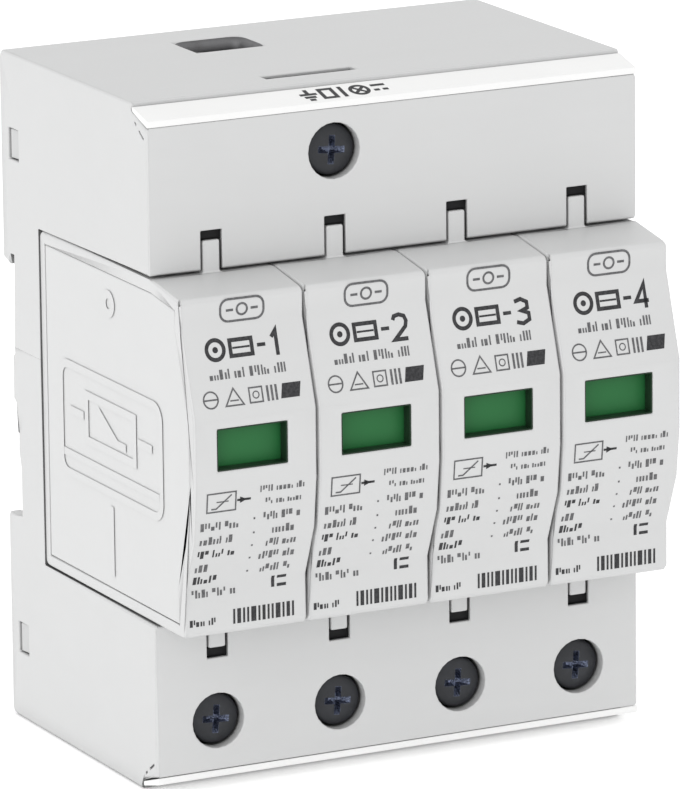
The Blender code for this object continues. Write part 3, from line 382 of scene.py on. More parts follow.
# a dark and a light shade, the roughness and the shine
satins = {
    "stripWhite": ((0.775, 0.775, 0.77), (0.83, 0.83, 0.825), 0.36),
    "statusGreen": ((0.018, 0.138, 0.038), (0.026, 0.168, 0.050), 0.42, 0.22),
    # painted shade: the dark green of the status windows' reveals
    "windowFrame": ((0.008, 0.022, 0.011), (0.014, 0.034, 0.017), 0.34, 0.3),
    # painted shade: the dark blocks in the grooves' sockets and in the slots
    "socketDark": ((0.010, 0.010, 0.011), (0.020, 0.020, 0.021), 0.60, 0.15),
    "slotDark": ((0.022, 0.022, 0.023), (0.036, 0.036, 0.038), 0.60, 0.15),
    "trippedRed": ((0.42, 0.018, 0.012), (0.52, 0.030, 0.020), 0.36),
}
for satinName, satinLook in satins.items():
    finish[satinName] = satinPlastic(satinName, *satinLook)
finish["blackSteel"] = blackSteel("blackSteel")
finish["drivenSteel"] = drivenSteel("drivenSteel")
for metal, dark, light, stain, rough in (
    ("zincSteel", (0.48, 0.49, 0.51), (0.66, 0.67, 0.69), (0.42, 0.41, 0.36), 0.34),
    # painted shade: the clamp cages are zinc-plated like the springs, made darker to stand for the shade
    # deep in the cable entries
    ("cageSteel", (0.20, 0.20, 0.21), (0.32, 0.33, 0.34), (0.16, 0.15, 0.13), 0.46),
    # painted shade: the dark sleeve in each cable entry's throat
    ("collarSteel", (0.16, 0.16, 0.165), (0.25, 0.25, 0.255), (0.15, 0.145, 0.14), 0.62),
    ("tinnedCopper", (0.60, 0.57, 0.52), (0.76, 0.73, 0.68), (0.50, 0.40, 0.30), 0.30),
):
    finish[metal] = platedMetal(metal, dark, light, stain, rough)
finish["varistorCoat"] = dippedCoat("varistorCoat")
finish["darkInk"] = printedInk("darkInk", (0.014, 0.014, 0.016), (0.045, 0.045, 0.048))
finish["greyInk"] = printedInk("greyInk", (0.075, 0.075, 0.078), (0.15, 0.15, 0.155))
print("finishes made:", len(finish))

nodeFinish = {
    "base_housing": "basePlastic",
    "rear_cover": "rearPlastic",
    "label_strip": "stripWhite",
    "line_contact": "tinnedCopper",
    "earth_busbar": "tinnedCopper",
    "clip_spring": "zincSteel",
    "terminal_screw": "blackSteel",
    "clamp_cage": "cageSteel",
    "rail_clip": "clipPlastic",
    "module_shell": "modulePlastic",
    "module_side_cover": "modulePlastic",
    "tripped_plate": "trippedRed",
    "trip_spring": "zincSteel",
    "varistor": "varistorCoat",
    "upper_blade": "tinnedCopper",
    "lower_blade": "tinnedCopper",
    "status_slider": "statusGreen",
}


def finishOf(node):
    return finish[next(nodeFinish[start] for start in nodeFinish if node.startswith(start))]


for nodeName, part in nodes.items():
    for materialSlot in part.material_slots:
        materialSlot.material = finishOf(nodeName)


def newPiece(name, build, surface):
    mesh = bpy.data.meshes.new(name)
    build.to_mesh(mesh)
    build.free()
    mesh.materials.append(surface)
    piece = bpy.data.objects.new(name, mesh)
    bpy.context.scene.collection.objects.link(piece)
    return piece


def afterModifiers(piece):
    # the mesh with its modifiers worked in
    graph = bpy.context.evaluated_depsgraph_get()
    made = bpy.data.meshes.new_from_object(piece.evaluated_get(graph))
    piece.modifiers.clear()
    piece.data = made


def carve(piece, cutters, finishes="INDEX"):
    # with TRANSFER the cut faces take the cutter's own finish
    for cutter in cutters:
        step = piece.modifiers.new(cutter.name, "BOOLEAN")
        step.operation = "DIFFERENCE"
        step.solver = "EXACT"
        step.material_mode = finishes
        step.object = cutter
    afterModifiers(piece)
    for cutter in cutters:
        bpy.data.objects.remove(cutter)


def isSharp(edge, sharpest):
    return len(edge.link_faces) == 2 and edge.calc_face_angle() > math.radians(sharpest)


def flatFaces(build):
    # flat areas in few faces, then triangles, which take a bevel well
    bmesh.ops.remove_doubles(build, verts=build.verts, dist=0.004 * mm)
    bmesh.ops.dissolve_limit(
        build, angle_limit=math.radians(1), verts=build.verts, edges=build.edges,
    )
    bmesh.ops.triangulate(build, faces=build.faces)


def soften(piece, width, sharpest=50, steps=2, special=()):
    # sharp edges get the width, or the width of the first special test that both their ends meet
    widest = max([width] + [other for meets, other in special])
    build = bmesh.new()
    build.from_mesh(piece.data)
    share = build.edges.layers.float.new("bevel_weight_edge")
    crisp = []
    for edge in build.edges:
        if isSharp(edge, sharpest):
            ends = [vert.co / mm for vert in edge.verts]
            met = (other for meets, other in special if all(meets(*end) for end in ends))
            wanted = next(met, width)
            edge[share] = wanted / widest
            if wanted == 0:
                crisp.append(edge.index)
    build.to_mesh(piece.data)
    build.free()
    step = piece.modifiers.new("soft edges", "BEVEL")
    step.width = widest * mm
    step.segments = steps
    step.limit_method = "WEIGHT"
    step.use_clamp_overlap = False
    step.miter_outer = "MITER_SHARP"
    step.loop_slide = False
    step.harden_normals = False
    piece.data.shade_smooth()
    for index in crisp:
        piece.data.edges[index].use_edge_sharp = True
    even = piece.modifiers.new("even shading", "WEIGHTED_NORMAL")
    even.mode = "FACE_AREA_WITH_ANGLE"
    even.keep_sharp = True
    even.weight = 90


def softCopy(node, width, cutters=(), creases=(), special=(), reshape=None):
    # the CAD shape with moulded edges, riding where its node rides
    source = nodes[node]
    build = bmesh.new()
    build.from_mesh(source.data)
    if reshape:
        for vert in build.verts:
            vert.co = Vector(reshape(*(vert.co / mm))) * mm
    flatFaces(build)
    piece = newPiece(node + "_look", build, finishOf(node))
    for extra in list(piece.data.attributes):
        if extra.name == "custom_normal":
            piece.data.attributes.remove(extra)
    if cutters:
        carve(piece, cutters)
        build = bmesh.new()
        build.from_mesh(piece.data)
        flatFaces(build)
        build.to_mesh(piece.data)
        build.free()
    soften(piece, width, special=special)
    if creases:
        for edge in piece.data.edges:
            first, second = (piece.data.vertices[index].co for index in edge.vertices)
            level = abs(first.z - second.z) < 0.02 * mm and abs(first.y - second.y) < 0.02 * mm
            if level and any(abs(first.z - height * mm) < 0.05 * mm for height in creases):
                edge.use_edge_sharp = True
    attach(piece, source["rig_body"])
    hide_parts(node)
    return piece


def puck(name, centre, radius, depth, axis, steps=32):
    # a round cutter across one axis, sunk by the depth on both sides of its centre
    build = bmesh.new()
    wide = radius * mm
    bmesh.ops.create_cone(
        build, cap_ends=True, segments=steps, radius1=wide, radius2=wide, depth=2 * depth * mm,
    )
    turn = Matrix.Rotation(math.pi / 2, 4, {"x": "Y", "y": "X"}[axis])
    placed = Matrix.Translation(Vector(centre) * mm) @ turn
    bmesh.ops.transform(build, matrix=placed, verts=build.verts)
    return newPiece(name, build, finish["basePlastic"])


def block(name, low, high):
    # a box-shaped cutter between two corners
    build = bmesh.new()
    bmesh.ops.create_cube(build, size=1)
    for vert in build.verts:
        vert.co = Vector(
            (start + (part + 0.5) * (end - start)) * mm for start, end, part in zip(low, high, vert.co)
        )
    return newPiece(name, build, finish["basePlastic"])


# points this near to a plane or a circle lie on it, in millimetres
touching = 0.05

base = {
    "edge": 0.2, "coverEdge": 0.18, "stripEdge": 0.12, "clipEdge": 0.14, "slitEdge": 0.05,
    "side": 35, "topEnd": 44.5, "bottomEnd": 45.5, "front": -41.6, "rear": 3.4, "bay": 22.8,
    "lipEdge": 0.42, "sideLipEdge": 0.26, "parting": 5.1, "partingGap": 0.01,
    "pinDepth": 0.18, "pinRadius": 2.1, "seatPinRadius": 1.6, "markedEdge": 0.03,
    "pins": [(x, z) for x in (-27, 0, 27) for z in (26, -30.5)],
    "seatPins": [(x, 8.5) for x in (-26, -8.7, 8.7, 26)],
    "panels": (-17.5, 0, 17.5), "panelHalf": 6.4, "panelFoot": 33, "panelTop": 40,
    "panelFront": 2.9, "panelRear": 4.4, "stripReach": 0.28,
    "snapHeights": (32.4, -34.4), "snapHalf": 1.98, "snapFoot": 33.05, "snapTip": 34.66, "snapSlope": 0.12,
    "slits": (((-37.9, 2.3), (-38.4, 2.7)), ((-39.1, 3.2), (-40.5, 4.15))),
    "slitWide": 0.34, "slitDeep": 0.4, "ribEnd": 26.76, "grooveEnd": 27.96, "grooveHalf": 1.45,
    "insertSunk": 0.45, "insertDeep": 4.5, "insertPan": 0.4, "insertWall": 0.16, "insertEdge": 0.05,
    "slotFront": -32, "slotWide": 2, "slotHalf": 6.45, "slotShift": 1.75,
    "throat": (4.46, 3.46), "throatRadius": 1.36, "collarWall": 0.12, "entryY": -8.2,
}


def addHousing(node):
    # the lip over the modules is rounder, and the parting line stays a hairline
    def lip(x, y, z):
        return abs(y - base["front"]) < touching and abs(abs(z) - base["bay"]) < touching

    def sideLip(x, y, z):
        return abs(abs(x) - base["side"]) < touching and abs(abs(z) - base["bay"]) < touching

    def parting(x, y, z):
        return abs(z - base["parting"]) < touching

    def closed(x, y, z):
        away = z - base["parting"]
        if abs(away) < 0.2:
            return x, y, base["parting"] + math.copysign(base["partingGap"], away)
        return x, y, z

    def slitEdge(x, y, z):
        return abs(x) > 34.5 and -41 < y < -37.5 and 40 < abs(z) < 43.5

    widths = (
        (parting, 0), (lip, base["lipEdge"]), (sideLip, base["sideLipEdge"]),
        (slitEdge, base["slitEdge"]),
    )
    end, up = (base["topEnd"], 1) if "upper" in node else (base["bottomEnd"], -1)
    slits = [
        slit("slit", side, [(y, up * (end - drop)) for y, drop in line])
        for side in (-1, 1) for line in base["slits"]
    ]
    softCopy(node, base["edge"], slits, special=widths, reshape=closed)


def slit(name, side, line):
    # a cutter for a short narrow slit on a flat side
    (y0, z0), (y1, z1) = line
    along = Vector((0, y1 - y0, z1 - z0)).normalized()
    across = Vector((1, 0, 0)).cross(along) * base["slitWide"] / 2
    build = bmesh.new()
    rings = []
    corners = ((y0, z0, 1), (y1, z1, 1), (y1, z1, -1), (y0, z0, -1))
    for x in (side * (base["side"] - base["slitDeep"]), side * (base["side"] + 1)):
        ends = [Vector((x, y, z)) + across * turn for y, z, turn in corners]
        rings.append([build.verts.new(end * mm) for end in ends])
    for index in range(4):
        after = (index + 1) % 4
        build.faces.new((rings[0][index], rings[0][after], rings[1][after], rings[1][index]))
    build.faces.new(rings[0])
    build.faces.new(rings[1])
    bmesh.ops.recalc_face_normals(build, faces=build.faces)
    return newPiece(name, build, finish["basePlastic"])


def addStrip(node):
    # the strip's front end reaches down onto its seat
    low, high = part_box(node)
    verts = nodes[node].data.vertices
    foot = min(abs(vert.co.z) for vert in verts if vert.co.y < low.y + 0.01 * mm) / mm

    def seated(x, y, z):
        atFoot = y < low.y / mm + touching and abs(abs(z) - foot) < touching
        return (x, y, z - math.copysign(base["stripReach"], z)) if atFoot else (x, y, z)

    softCopy(node, base["stripEdge"], reshape=seated)


def addShadeBlock(name, low, high, axis, out):
    # a dark block deep in an opening, with a shallow pan in the face that shows: painted shade, standing
    # for the shade inside the opening
    build = bmesh.new()
    bmesh.ops.create_cube(build, size=1)
    for vert in build.verts:
        vert.co = Vector(a + (b - a) * (part + 0.5) for a, b, part in zip(low, high, vert.co)) * mm
    face = max(build.faces, key=lambda item: out * item.calc_center_median()[axis])
    wall, pan = base["insertWall"] * mm, base["insertPan"] * mm
    bmesh.ops.inset_region(build, faces=[face], thickness=wall, depth=-pan)
    piece = newPiece(name, build, finish["socketDark" if axis == 1 else "slotDark"])
    soften(piece, base["insertEdge"])
    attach(piece, "base")


def addShadeBlocks():
    half, sunk, deep = base["grooveHalf"], base["insertSunk"], base["insertDeep"]
    front, slotFront = base["front"], base["slotFront"]
    for pole in poles:
        middle = poleMiddle(pole) / mm
        for side, word in ((1, "top"), (-1, "bottom")):
            foot, end = sorted((side * base["ribEnd"], side * base["grooveEnd"]))
            low, high = (middle - half, front + sunk, foot), (middle + half, front + deep, end)
            addShadeBlock("groove_insert_%d_%s" % (pole, word), low, high, 1, -1)
    places = [("top", poleMiddle(2) / mm + base["slotShift"], base["topEnd"], 1)]
    places += [("bottom_%d" % pole, poleMiddle(pole) / mm, base["bottomEnd"], -1) for pole in poles]
    for word, middle, end, side in places:
        foot, top = sorted((side * (end - 0.4 - deep), side * (end - 0.4)))
        low = (middle - base["slotHalf"], slotFront + 0.05, foot)
        high = (middle + base["slotHalf"], slotFront + base["slotWide"] - 0.05, top)
        addShadeBlock("slot_insert_" + word, low, high, 2, side)


def addThroatShade(node, side):
    # a dark steel sleeve lining the throat of a cable entry: painted shade, standing for the shade deep in
    # the entry
    low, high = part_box(node)
    middle = (low.x + high.x) / 2 / mm
    (wide, deep), wall, y = base["throat"], base["collarWall"], base["entryY"]
    end = base["topEnd"] if side > 0 else base["bottomEnd"]
    rings = ((-0.62, 0.14), (0, 0.8), (0, 2.75), (wall, 2.75), (wall, 0.86), (-0.52, 0.1))
    build = bmesh.new()
    loops = []
    for inward, sunk in rings:
        loop = []
        radius = max(base["throatRadius"] - inward, 0.3)
        for cx, cy, start in ((1, 1, 0), (-1, 1, 90), (-1, -1, 180), (1, -1, 270)):
            for step in range(5):
                a = math.radians(start + 22.5 * step)
                px = cx * (wide - inward - radius) + radius * math.cos(a)
                py = cy * (deep - inward - radius) + radius * math.sin(a)
                spot = Vector((middle + px, y + py, side * (end - sunk)))
                loop.append(build.verts.new(spot * mm))
        loops.append(loop)
    for loop, following in zip(loops, loops[1:] + loops[:1]):
        for index in range(len(loop)):
            after = (index + 1) % len(loop)
            build.faces.new((loop[index], loop[after], following[after], following[index]))
    bmesh.ops.recalc_face_normals(build, faces=build.faces)
    piece = newPiece("collar_" + node.replace("clamp_cage_", ""), build, finish["collarSteel"])
    piece.data.shade_smooth()
    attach(piece, "base")


def addBase():
    addHousing("base_housing_upper")
    addHousing("base_housing_lower")
    # ejector pin marks and shallow panels on the rear
    spots = [(x, base["rear"], z, base["pinRadius"]) for x, z in base["pins"]]
    spots += [(x, 0, z, base["seatPinRadius"]) for x, z in base["seatPins"]]
    marks = [puck("mark", (x, y, z), radius, base["pinDepth"], "y") for x, y, z, radius in spots]
    half, foot, top = base["panelHalf"], base["panelFoot"], base["panelTop"]
    for x in base["panels"]:
        low, high = (x - half, base["panelFront"], foot), (x + half, base["panelRear"], top)
        marks.append(block("panel", low, high))

    def marked(x, y, z):
        # the rims of the marks keep nearly crisp
        circle = any(
            abs(math.hypot(x - midX, z - midZ) - radius) < touching for midX, _, midZ, radius in spots
        )
        level = y > 2.5 and foot - 0.1 < z < top + 0.1
        panel = level and any(abs(abs(x - middle) - half) < touching for middle in base["panels"])
        return circle or panel

    def flush(x, y, z):
        # the snap noses nearly fill their windows
        if abs(x) < base["snapFoot"]:
            return x, y, z
        middle = base["snapHeights"][0 if z > 0 else 1]
        outer = middle + math.copysign(base["snapHalf"], z - middle)
        return math.copysign(base["snapTip"] + base["snapSlope"] * y, x), y, outer

    rims = ((marked, base["markedEdge"]),)
    softCopy("rear_cover", base["coverEdge"], marks, special=rims, reshape=flush)
    addStrip("label_strip_top")
    addStrip("label_strip_bottom")
    addShadeBlocks()
    for node in nodes:
        if node.startswith("clamp_cage"):
            addThroatShade(node, 1 if "earth" in node else -1)
    softCopy("rail_clip_left", base["clipEdge"])
    softCopy("rail_clip_right", base["clipEdge"])


addBase()
print("base made")


screw = {
    "steps": 56, "headLength": 8.2, "headEdge": 0.40, "dome": 0.34,
    "shankRadius": 2.5, "threadDepth": 0.34, "pitch": 0.8,
    "crossLong": 1.95, "crossWide": 0.42, "crossFoot": 0.42, "crossDepth": 1.3, "crossEdge": 0.06,
    "turn": 4,
}


def tapered(name, centre, half, foot, depth, spin):
    # a sunk bar, wide at its mouth and narrower at its foot, about the screw's axis
    build = bmesh.new()
    rings = []
    for y, share in ((-0.6, 1.0), (0.0, 1.0), (depth, foot)):
        ring = []
        for sx, sz in ((-1, -1), (1, -1), (1, 1), (-1, 1)):
            flat = Vector((sx * half[0] * share, 0, sz * half[1] * (0.5 + share / 2)))
            flat = Matrix.Rotation(math.radians(spin), 3, "Y") @ flat
            ring.append(build.verts.new((Vector(centre) + flat + Vector((0, y, 0))) * mm))
        rings.append(ring)
    build.faces.new(rings[0])
    build.faces.new(list(reversed(rings[-1])))
    for ring, following in zip(rings, rings[1:]):
        for index in range(4):
            after = (index + 1) % 4
            build.faces.new((ring[after], ring[index], following[index], following[after]))
    bmesh.ops.recalc_face_normals(build, faces=build.faces)
    return newPiece(name, build, finish["drivenSteel"])


def addScrew(node):
    low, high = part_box(node)
    x, z = ((low.x + high.x) / 2 / mm, (low.z + high.z) / 2 / mm)
    front, tip = low.y / mm, high.y / mm
    radius, edge, rear = (high.x - low.x) / 2 / mm, screw["headEdge"], front + screw["headLength"]
    rim = front + screw["dome"]
    profile = [(front, 0), (front + screw["dome"] * 0.25, radius * 0.55), (rim, radius - edge)]
    profile += [(rim + edge * 0.35, radius - edge * 0.25), (rim + edge, radius), (rear, radius)]
    crest, root, along = screw["shankRadius"], screw["shankRadius"] - screw["threadDepth"], rear
    while along < tip - 0.8:
        profile += [(along, root), (along + screw["pitch"] / 2, crest)]
        along += screw["pitch"]
    profile += [(tip - 0.3, root), (tip, crest - 0.7), (tip, 0)]
    build = bmesh.new()
    rings = []
    for y, r in profile:
        count = 1 if r == 0 else screw["steps"]
        angles = [2 * math.pi * step / count for step in range(count)]
        spots = [Vector((x + r * math.cos(a), y, z + r * math.sin(a))) for a in angles]
        rings.append([build.verts.new(spot * mm) for spot in spots])
    for ring, following in zip(rings, rings[1:]):
        for step in range(screw["steps"]):
            after = (step + 1) % screw["steps"]
            corners = [ring[step % len(ring)], ring[after % len(ring)]]
            corners += [following[after % len(following)], following[step % len(following)]]
            build.faces.new(list(dict.fromkeys(corners)))
    bmesh.ops.recalc_face_normals(build, faces=build.faces)
    piece = newPiece(node + "_look", build, finish["blackSteel"])
    half, foot, depth = (screw["crossLong"], screw["crossWide"]), screw["crossFoot"], screw["crossDepth"]
    cutters = [
        tapered("cross", (x, front, z), half, foot, depth, screw["turn"] + extra) for extra in (0, 90)
    ]
    carve(piece, cutters, "TRANSFER")
    soften(piece, screw["crossEdge"], 36)
    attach(piece, nodes[node]["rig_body"])
    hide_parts(node)


for nodeName in sorted(nodes):
    if nodeName.startswith("terminal_screw"):
        addScrew(nodeName)
print("screws made")


module = {
    "edge": 0.26, "coverEdge": 0.2, "flagEdge": 0.1, "frameEdge": 0.04, "markedEdge": 0.03,
    "rear": -7.9, "halfPitch": 8.75, "half": 8.6,
    "pinRadius": 1.5, "pinDepth": 0.12, "pins": ((-14, 17), (-14, -17), (-44, 0)),
    "front": (
        (-50.1, 22.5), (-50.1, 17.7), (-53.6, 6.6), (-53.6, -2.6),
        (-52.8, -9.2), (-50.1, -16.0), (-50.1, -22.6),
    ),
    "strayFolds": (
        (-50.1, 17.7, -49.8, 17.654), (-53.6, -2.6, -53.3, -2.582), (-50.1, -16.0, -49.8, -15.943),
    ),
    "foldReach": 0.36, "recessWall": 0.9, "recessFoot": -21.4, "recessTop": 21.7, "recessSlope": 0.13,
    "coverReach": 0.2, "coverAlong": 0.15, "coverMiddle": -30, "coverEnds": 18,
    "window": (3.4, -0.2, 13.3, 5.3), "frameFront": -53.42, "frameRear": -51.85, "frameWall": 0.24,
}
creaseHeights = [z for y, z in module["front"][1:-1]]


def frontAt(z):
    # how far forward the module's front lies at a height
    for (highY, highZ), (lowY, lowZ) in zip(module["front"], module["front"][1:]):
        if lowZ <= z <= highZ:
            return lowY + (highY - lowY) * (z - lowZ) / (highZ - lowZ)
    return module["front"][-1][0]


def addWindowShade(pole):
    # a dark green collar lining the status window: painted shade on the window's reveals
    left = poleMiddle(pole) / mm - module["halfPitch"]
    u0, z0, u1, z1 = module["window"]
    wall, front, rear = module["frameWall"], module["frameFront"], module["frameRear"]
    build = bmesh.new()
    rings = []
    profile = ((0.01, rear), (0.01, front), (wall * 0.7, front + 0.05), (wall, front + 0.35), (wall, rear))
    for inward, y in profile:
        near, far, foot, top = u0 + inward, u1 - inward, z0 + inward, z1 - inward
        corners = ((near, foot), (far, foot), (far, top), (near, top))
        rings.append([build.verts.new(Vector((left + u, y, z)) * mm) for u, z in corners])
    for ring, following in zip(rings, rings[1:] + rings[:1]):
        for index in range(4):
            after = (index + 1) % 4
            build.faces.new((ring[index], ring[after], following[after], following[index]))
    bmesh.ops.recalc_face_normals(build, faces=build.faces)
    piece = newPiece("window_frame_%d" % pole, build, finish["windowFrame"])
    soften(piece, module["frameEdge"])
    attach(piece, "module_%d" % pole)


def addModule(pole):
    half, rimRadius = module["half"], module["pinRadius"]
    right = poleMiddle(pole) / mm + half
    marks = [puck("mark", (right, y, z), rimRadius, module["pinDepth"], "x") for y, z in module["pins"]]

    def straight(x, y, z):
        # the CAD's side chamfer strays at three of the front's folds; here it runs along the front
        if abs(abs(x - right + half) - half) < touching:
            for foldY, foldZ, trueY, trueZ in module["strayFolds"]:
                if math.hypot(y - foldY, z - foldZ) < module["foldReach"]:
                    return x, trueY, trueZ
        return x, y, z

    def recess(x, y, z):
        # the rim of the cover's recess, which the cover nearly fills
        wall, slope = module["recessWall"], module["recessSlope"]
        top = module["recessTop"] + min(0, y + 41.6) * slope
        inside = frontAt(z) + wall < y < module["rear"] - wall and module["recessFoot"] < z < top
        return x < right - 16 and inside

    def marked(x, y, z):
        return x > right - 0.4 and any(
            abs(math.hypot(y - midY, z - midZ) - rimRadius) < touching for midY, midZ in module["pins"]
        )

    def closer(x, y, z):
        # the cover's outline grows evenly: its front's folds hardly move along it
        reach = module["coverReach"]
        along = reach if abs(z) > module["coverEnds"] else reach * module["coverAlong"]
        outward = math.copysign(reach, y - module["coverMiddle"])
        return x, y + outward, z + math.copysign(along, z)

    softCopy(
        "module_shell_%d" % pole, module["edge"], marks, creaseHeights,
        ((marked, module["markedEdge"]), (recess, 0)), straight,
    )
    softCopy("module_side_cover_%d" % pole, module["coverEdge"], reshape=closer)
    softCopy("status_slider_%d" % pole, module["flagEdge"])
    addWindowShade(pole)


for pole in poles:
    addModule(pole)
print("modules made")


class FlatMarks:
    # flat shapes in two directions, in millimetres, laid on a surface afterwards
    def __init__(self):
        self.build = bmesh.new()

    def fill(self, corners):
        self.build.faces.new([self.build.verts.new((u, 0, z)) for u, z in corners])

    def bar(self, u0, z0, u1, z1):
        self.fill(((u0, z0), (u1, z0), (u1, z1), (u0, z1)))

    def line(self, points, width, closed=False):
        # a ribbon of even width with mitred corners
        points = [Vector(point) for point in points]
        count = len(points)
        sides = []
        for index, here in enumerate(points):
            before = points[index - 1] if closed or index > 0 else None
            after = points[(index + 1) % count] if closed or index < count - 1 else None
            arriving = (after - here if before is None else here - before).normalized()
            leaving = (after - here).normalized() if after is not None else arriving
            normalIn = Vector((-arriving.y, arriving.x))
            normalOut = Vector((-leaving.y, leaving.x))
            mitre = (normalIn + normalOut).normalized()
            reach = width / 2 / max(mitre.dot(normalIn), 0.35)
            sides.append((here + mitre * reach, here - mitre * reach))
        verts = [[self.build.verts.new((side.x, 0, side.y)) for side in pair] for pair in sides]
        for index in range(count if closed else count - 1):
            left, right = verts[index]
            nextLeft, nextRight = verts[(index + 1) % count]
            self.build.faces.new((left, nextLeft, nextRight, right))

    def arc(self, centre, radius, width, start=0, end=360, steps=28):
        whole = end - start >= 360
        count = steps if whole else steps + 1
        angles = [math.radians(start + (end - start) * step / steps) for step in range(count)]
        u, z = centre
        points = [(u + radius * math.cos(a), z + radius * math.sin(a)) for a in angles]
        self.line(points, width, whole)

    def roundBox(self, u0, z0, u1, z1, radius, width, steps=5):
        points = []
        right, left, top, foot = u1 - radius, u0 + radius, z1 - radius, z0 + radius
        corners = ((right, top, 0), (left, top, 90), (left, foot, 180), (right, foot, 270))
        for cu, cz, start in corners:
            for step in range(steps + 1):
                a = math.radians(start + 90 * step / steps)
                points.append((cu + radius * math.cos(a), cz + radius * math.sin(a)))
        self.line(points, width, True)

    def ticks(self, u0, u1, z, height, seed, weight=0.27):
        # groups of small upright ticks and dots, in the place of a fine line of print
        chance = random.Random(seed)
        foot, u = z - height / 2, u0
        while u < u1 - height * 0.3:
            for number in range(chance.randint(3, 6)):
                wide = height * weight * chance.choice((0.8, 1.0, 1.7))
                if u + wide > u1:
                    break
                tall = height * chance.choice((1.0, 0.68, 0.68, 0.5))
                low = foot + (height - tall if chance.random() < 0.3 else 0)
                self.bar(u, low, u + wide, low + tall)
                u += wide + height * chance.choice((0.15, 0.22))
            u += height * 0.42

    def bars(self, u0, u1, z, height, widths, gap):
        # a row of plain upright bars, drawn to fill its length
        share = (u1 - u0) / (sum(widths) + gap * (len(widths) - 1))
        u = u0
        for wide in widths:
            self.bar(u, z - height / 2, u + wide * share, z + height / 2)
            u += (wide + gap) * share

    def lay(self, name, surface, place, cutAt=()):
        for height in cutAt:
            everything = self.build.verts[:] + self.build.edges[:] + self.build.faces[:]
            bmesh.ops.bisect_plane(
                self.build, geom=everything, dist=0.0001,
                plane_co=(0, 0, height), plane_no=(0, 0, 1),
            )
        for vert in self.build.verts:
            vert.co = place(vert.co.x, vert.co.z)
        return newPiece(name, self.build, surface)

    def ridge(self, name, surface, place, height, slope):
        # a low ridge: each flat shape is pushed out and its top drawn in
        for vert in self.build.verts:
            vert.co = place(vert.co.x, vert.co.z)
        bmesh.ops.remove_doubles(self.build, verts=self.build.verts, dist=0.001 * mm)
        faces = self.build.faces[:]
        bmesh.ops.recalc_face_normals(self.build, faces=faces)
        outward = place(0, 0) - place(0, 0, 1)
        for face in faces:
            if face.normal.dot(outward) > 0:
                face.normal_flip()
        bmesh.ops.inset_region(
            self.build, faces=faces, thickness=slope * mm, depth=height * mm, use_even_offset=True
        )
        return newPiece(name, self.build, surface)


numerals = {
    1: [(0.15, 0.75), (0.5, 1.0), (0.5, 0.0)],
    2: [
        (0.0, 0.8), (0.12, 0.95), (0.5, 1.0), (0.88, 0.92),
        (1.0, 0.72), (0.9, 0.5), (0.0, 0.0), (1.0, 0.0),
    ],
    3: [
        (0.0, 0.92), (0.5, 1.0), (0.95, 0.86), (0.95, 0.62), (0.5, 0.52),
        (1.0, 0.4), (1.0, 0.14), (0.5, 0.0), (0.0, 0.08),
    ],
    4: [(0.75, 0.0), (0.75, 1.0), (0.0, 0.3), (1.0, 0.3)],
}

printing = {
    "lift": 0.022, "boldStroke": 0.5, "stroke": 0.2, "hair": 0.15,
    "leftRows": ((-7.3, 7.0), (-9.2, 6.2), (-11.1, 6.6), (-13.1, 3.2), (-14.8, 4.6), (-16.7, 7.6)),
    "rightRows": ((-6.8, 9.9), (-8.7, 11.2), (-10.5, 10.6), (-12.3, 9.9), (-14.2, 10.4)),
    "cells": (0.3, 0.55, 0.3, 0.3, 0.75, 0.3, 0.45, 0.3, 0.3, 0.7, 0.3, 0.5, 0.3),
}


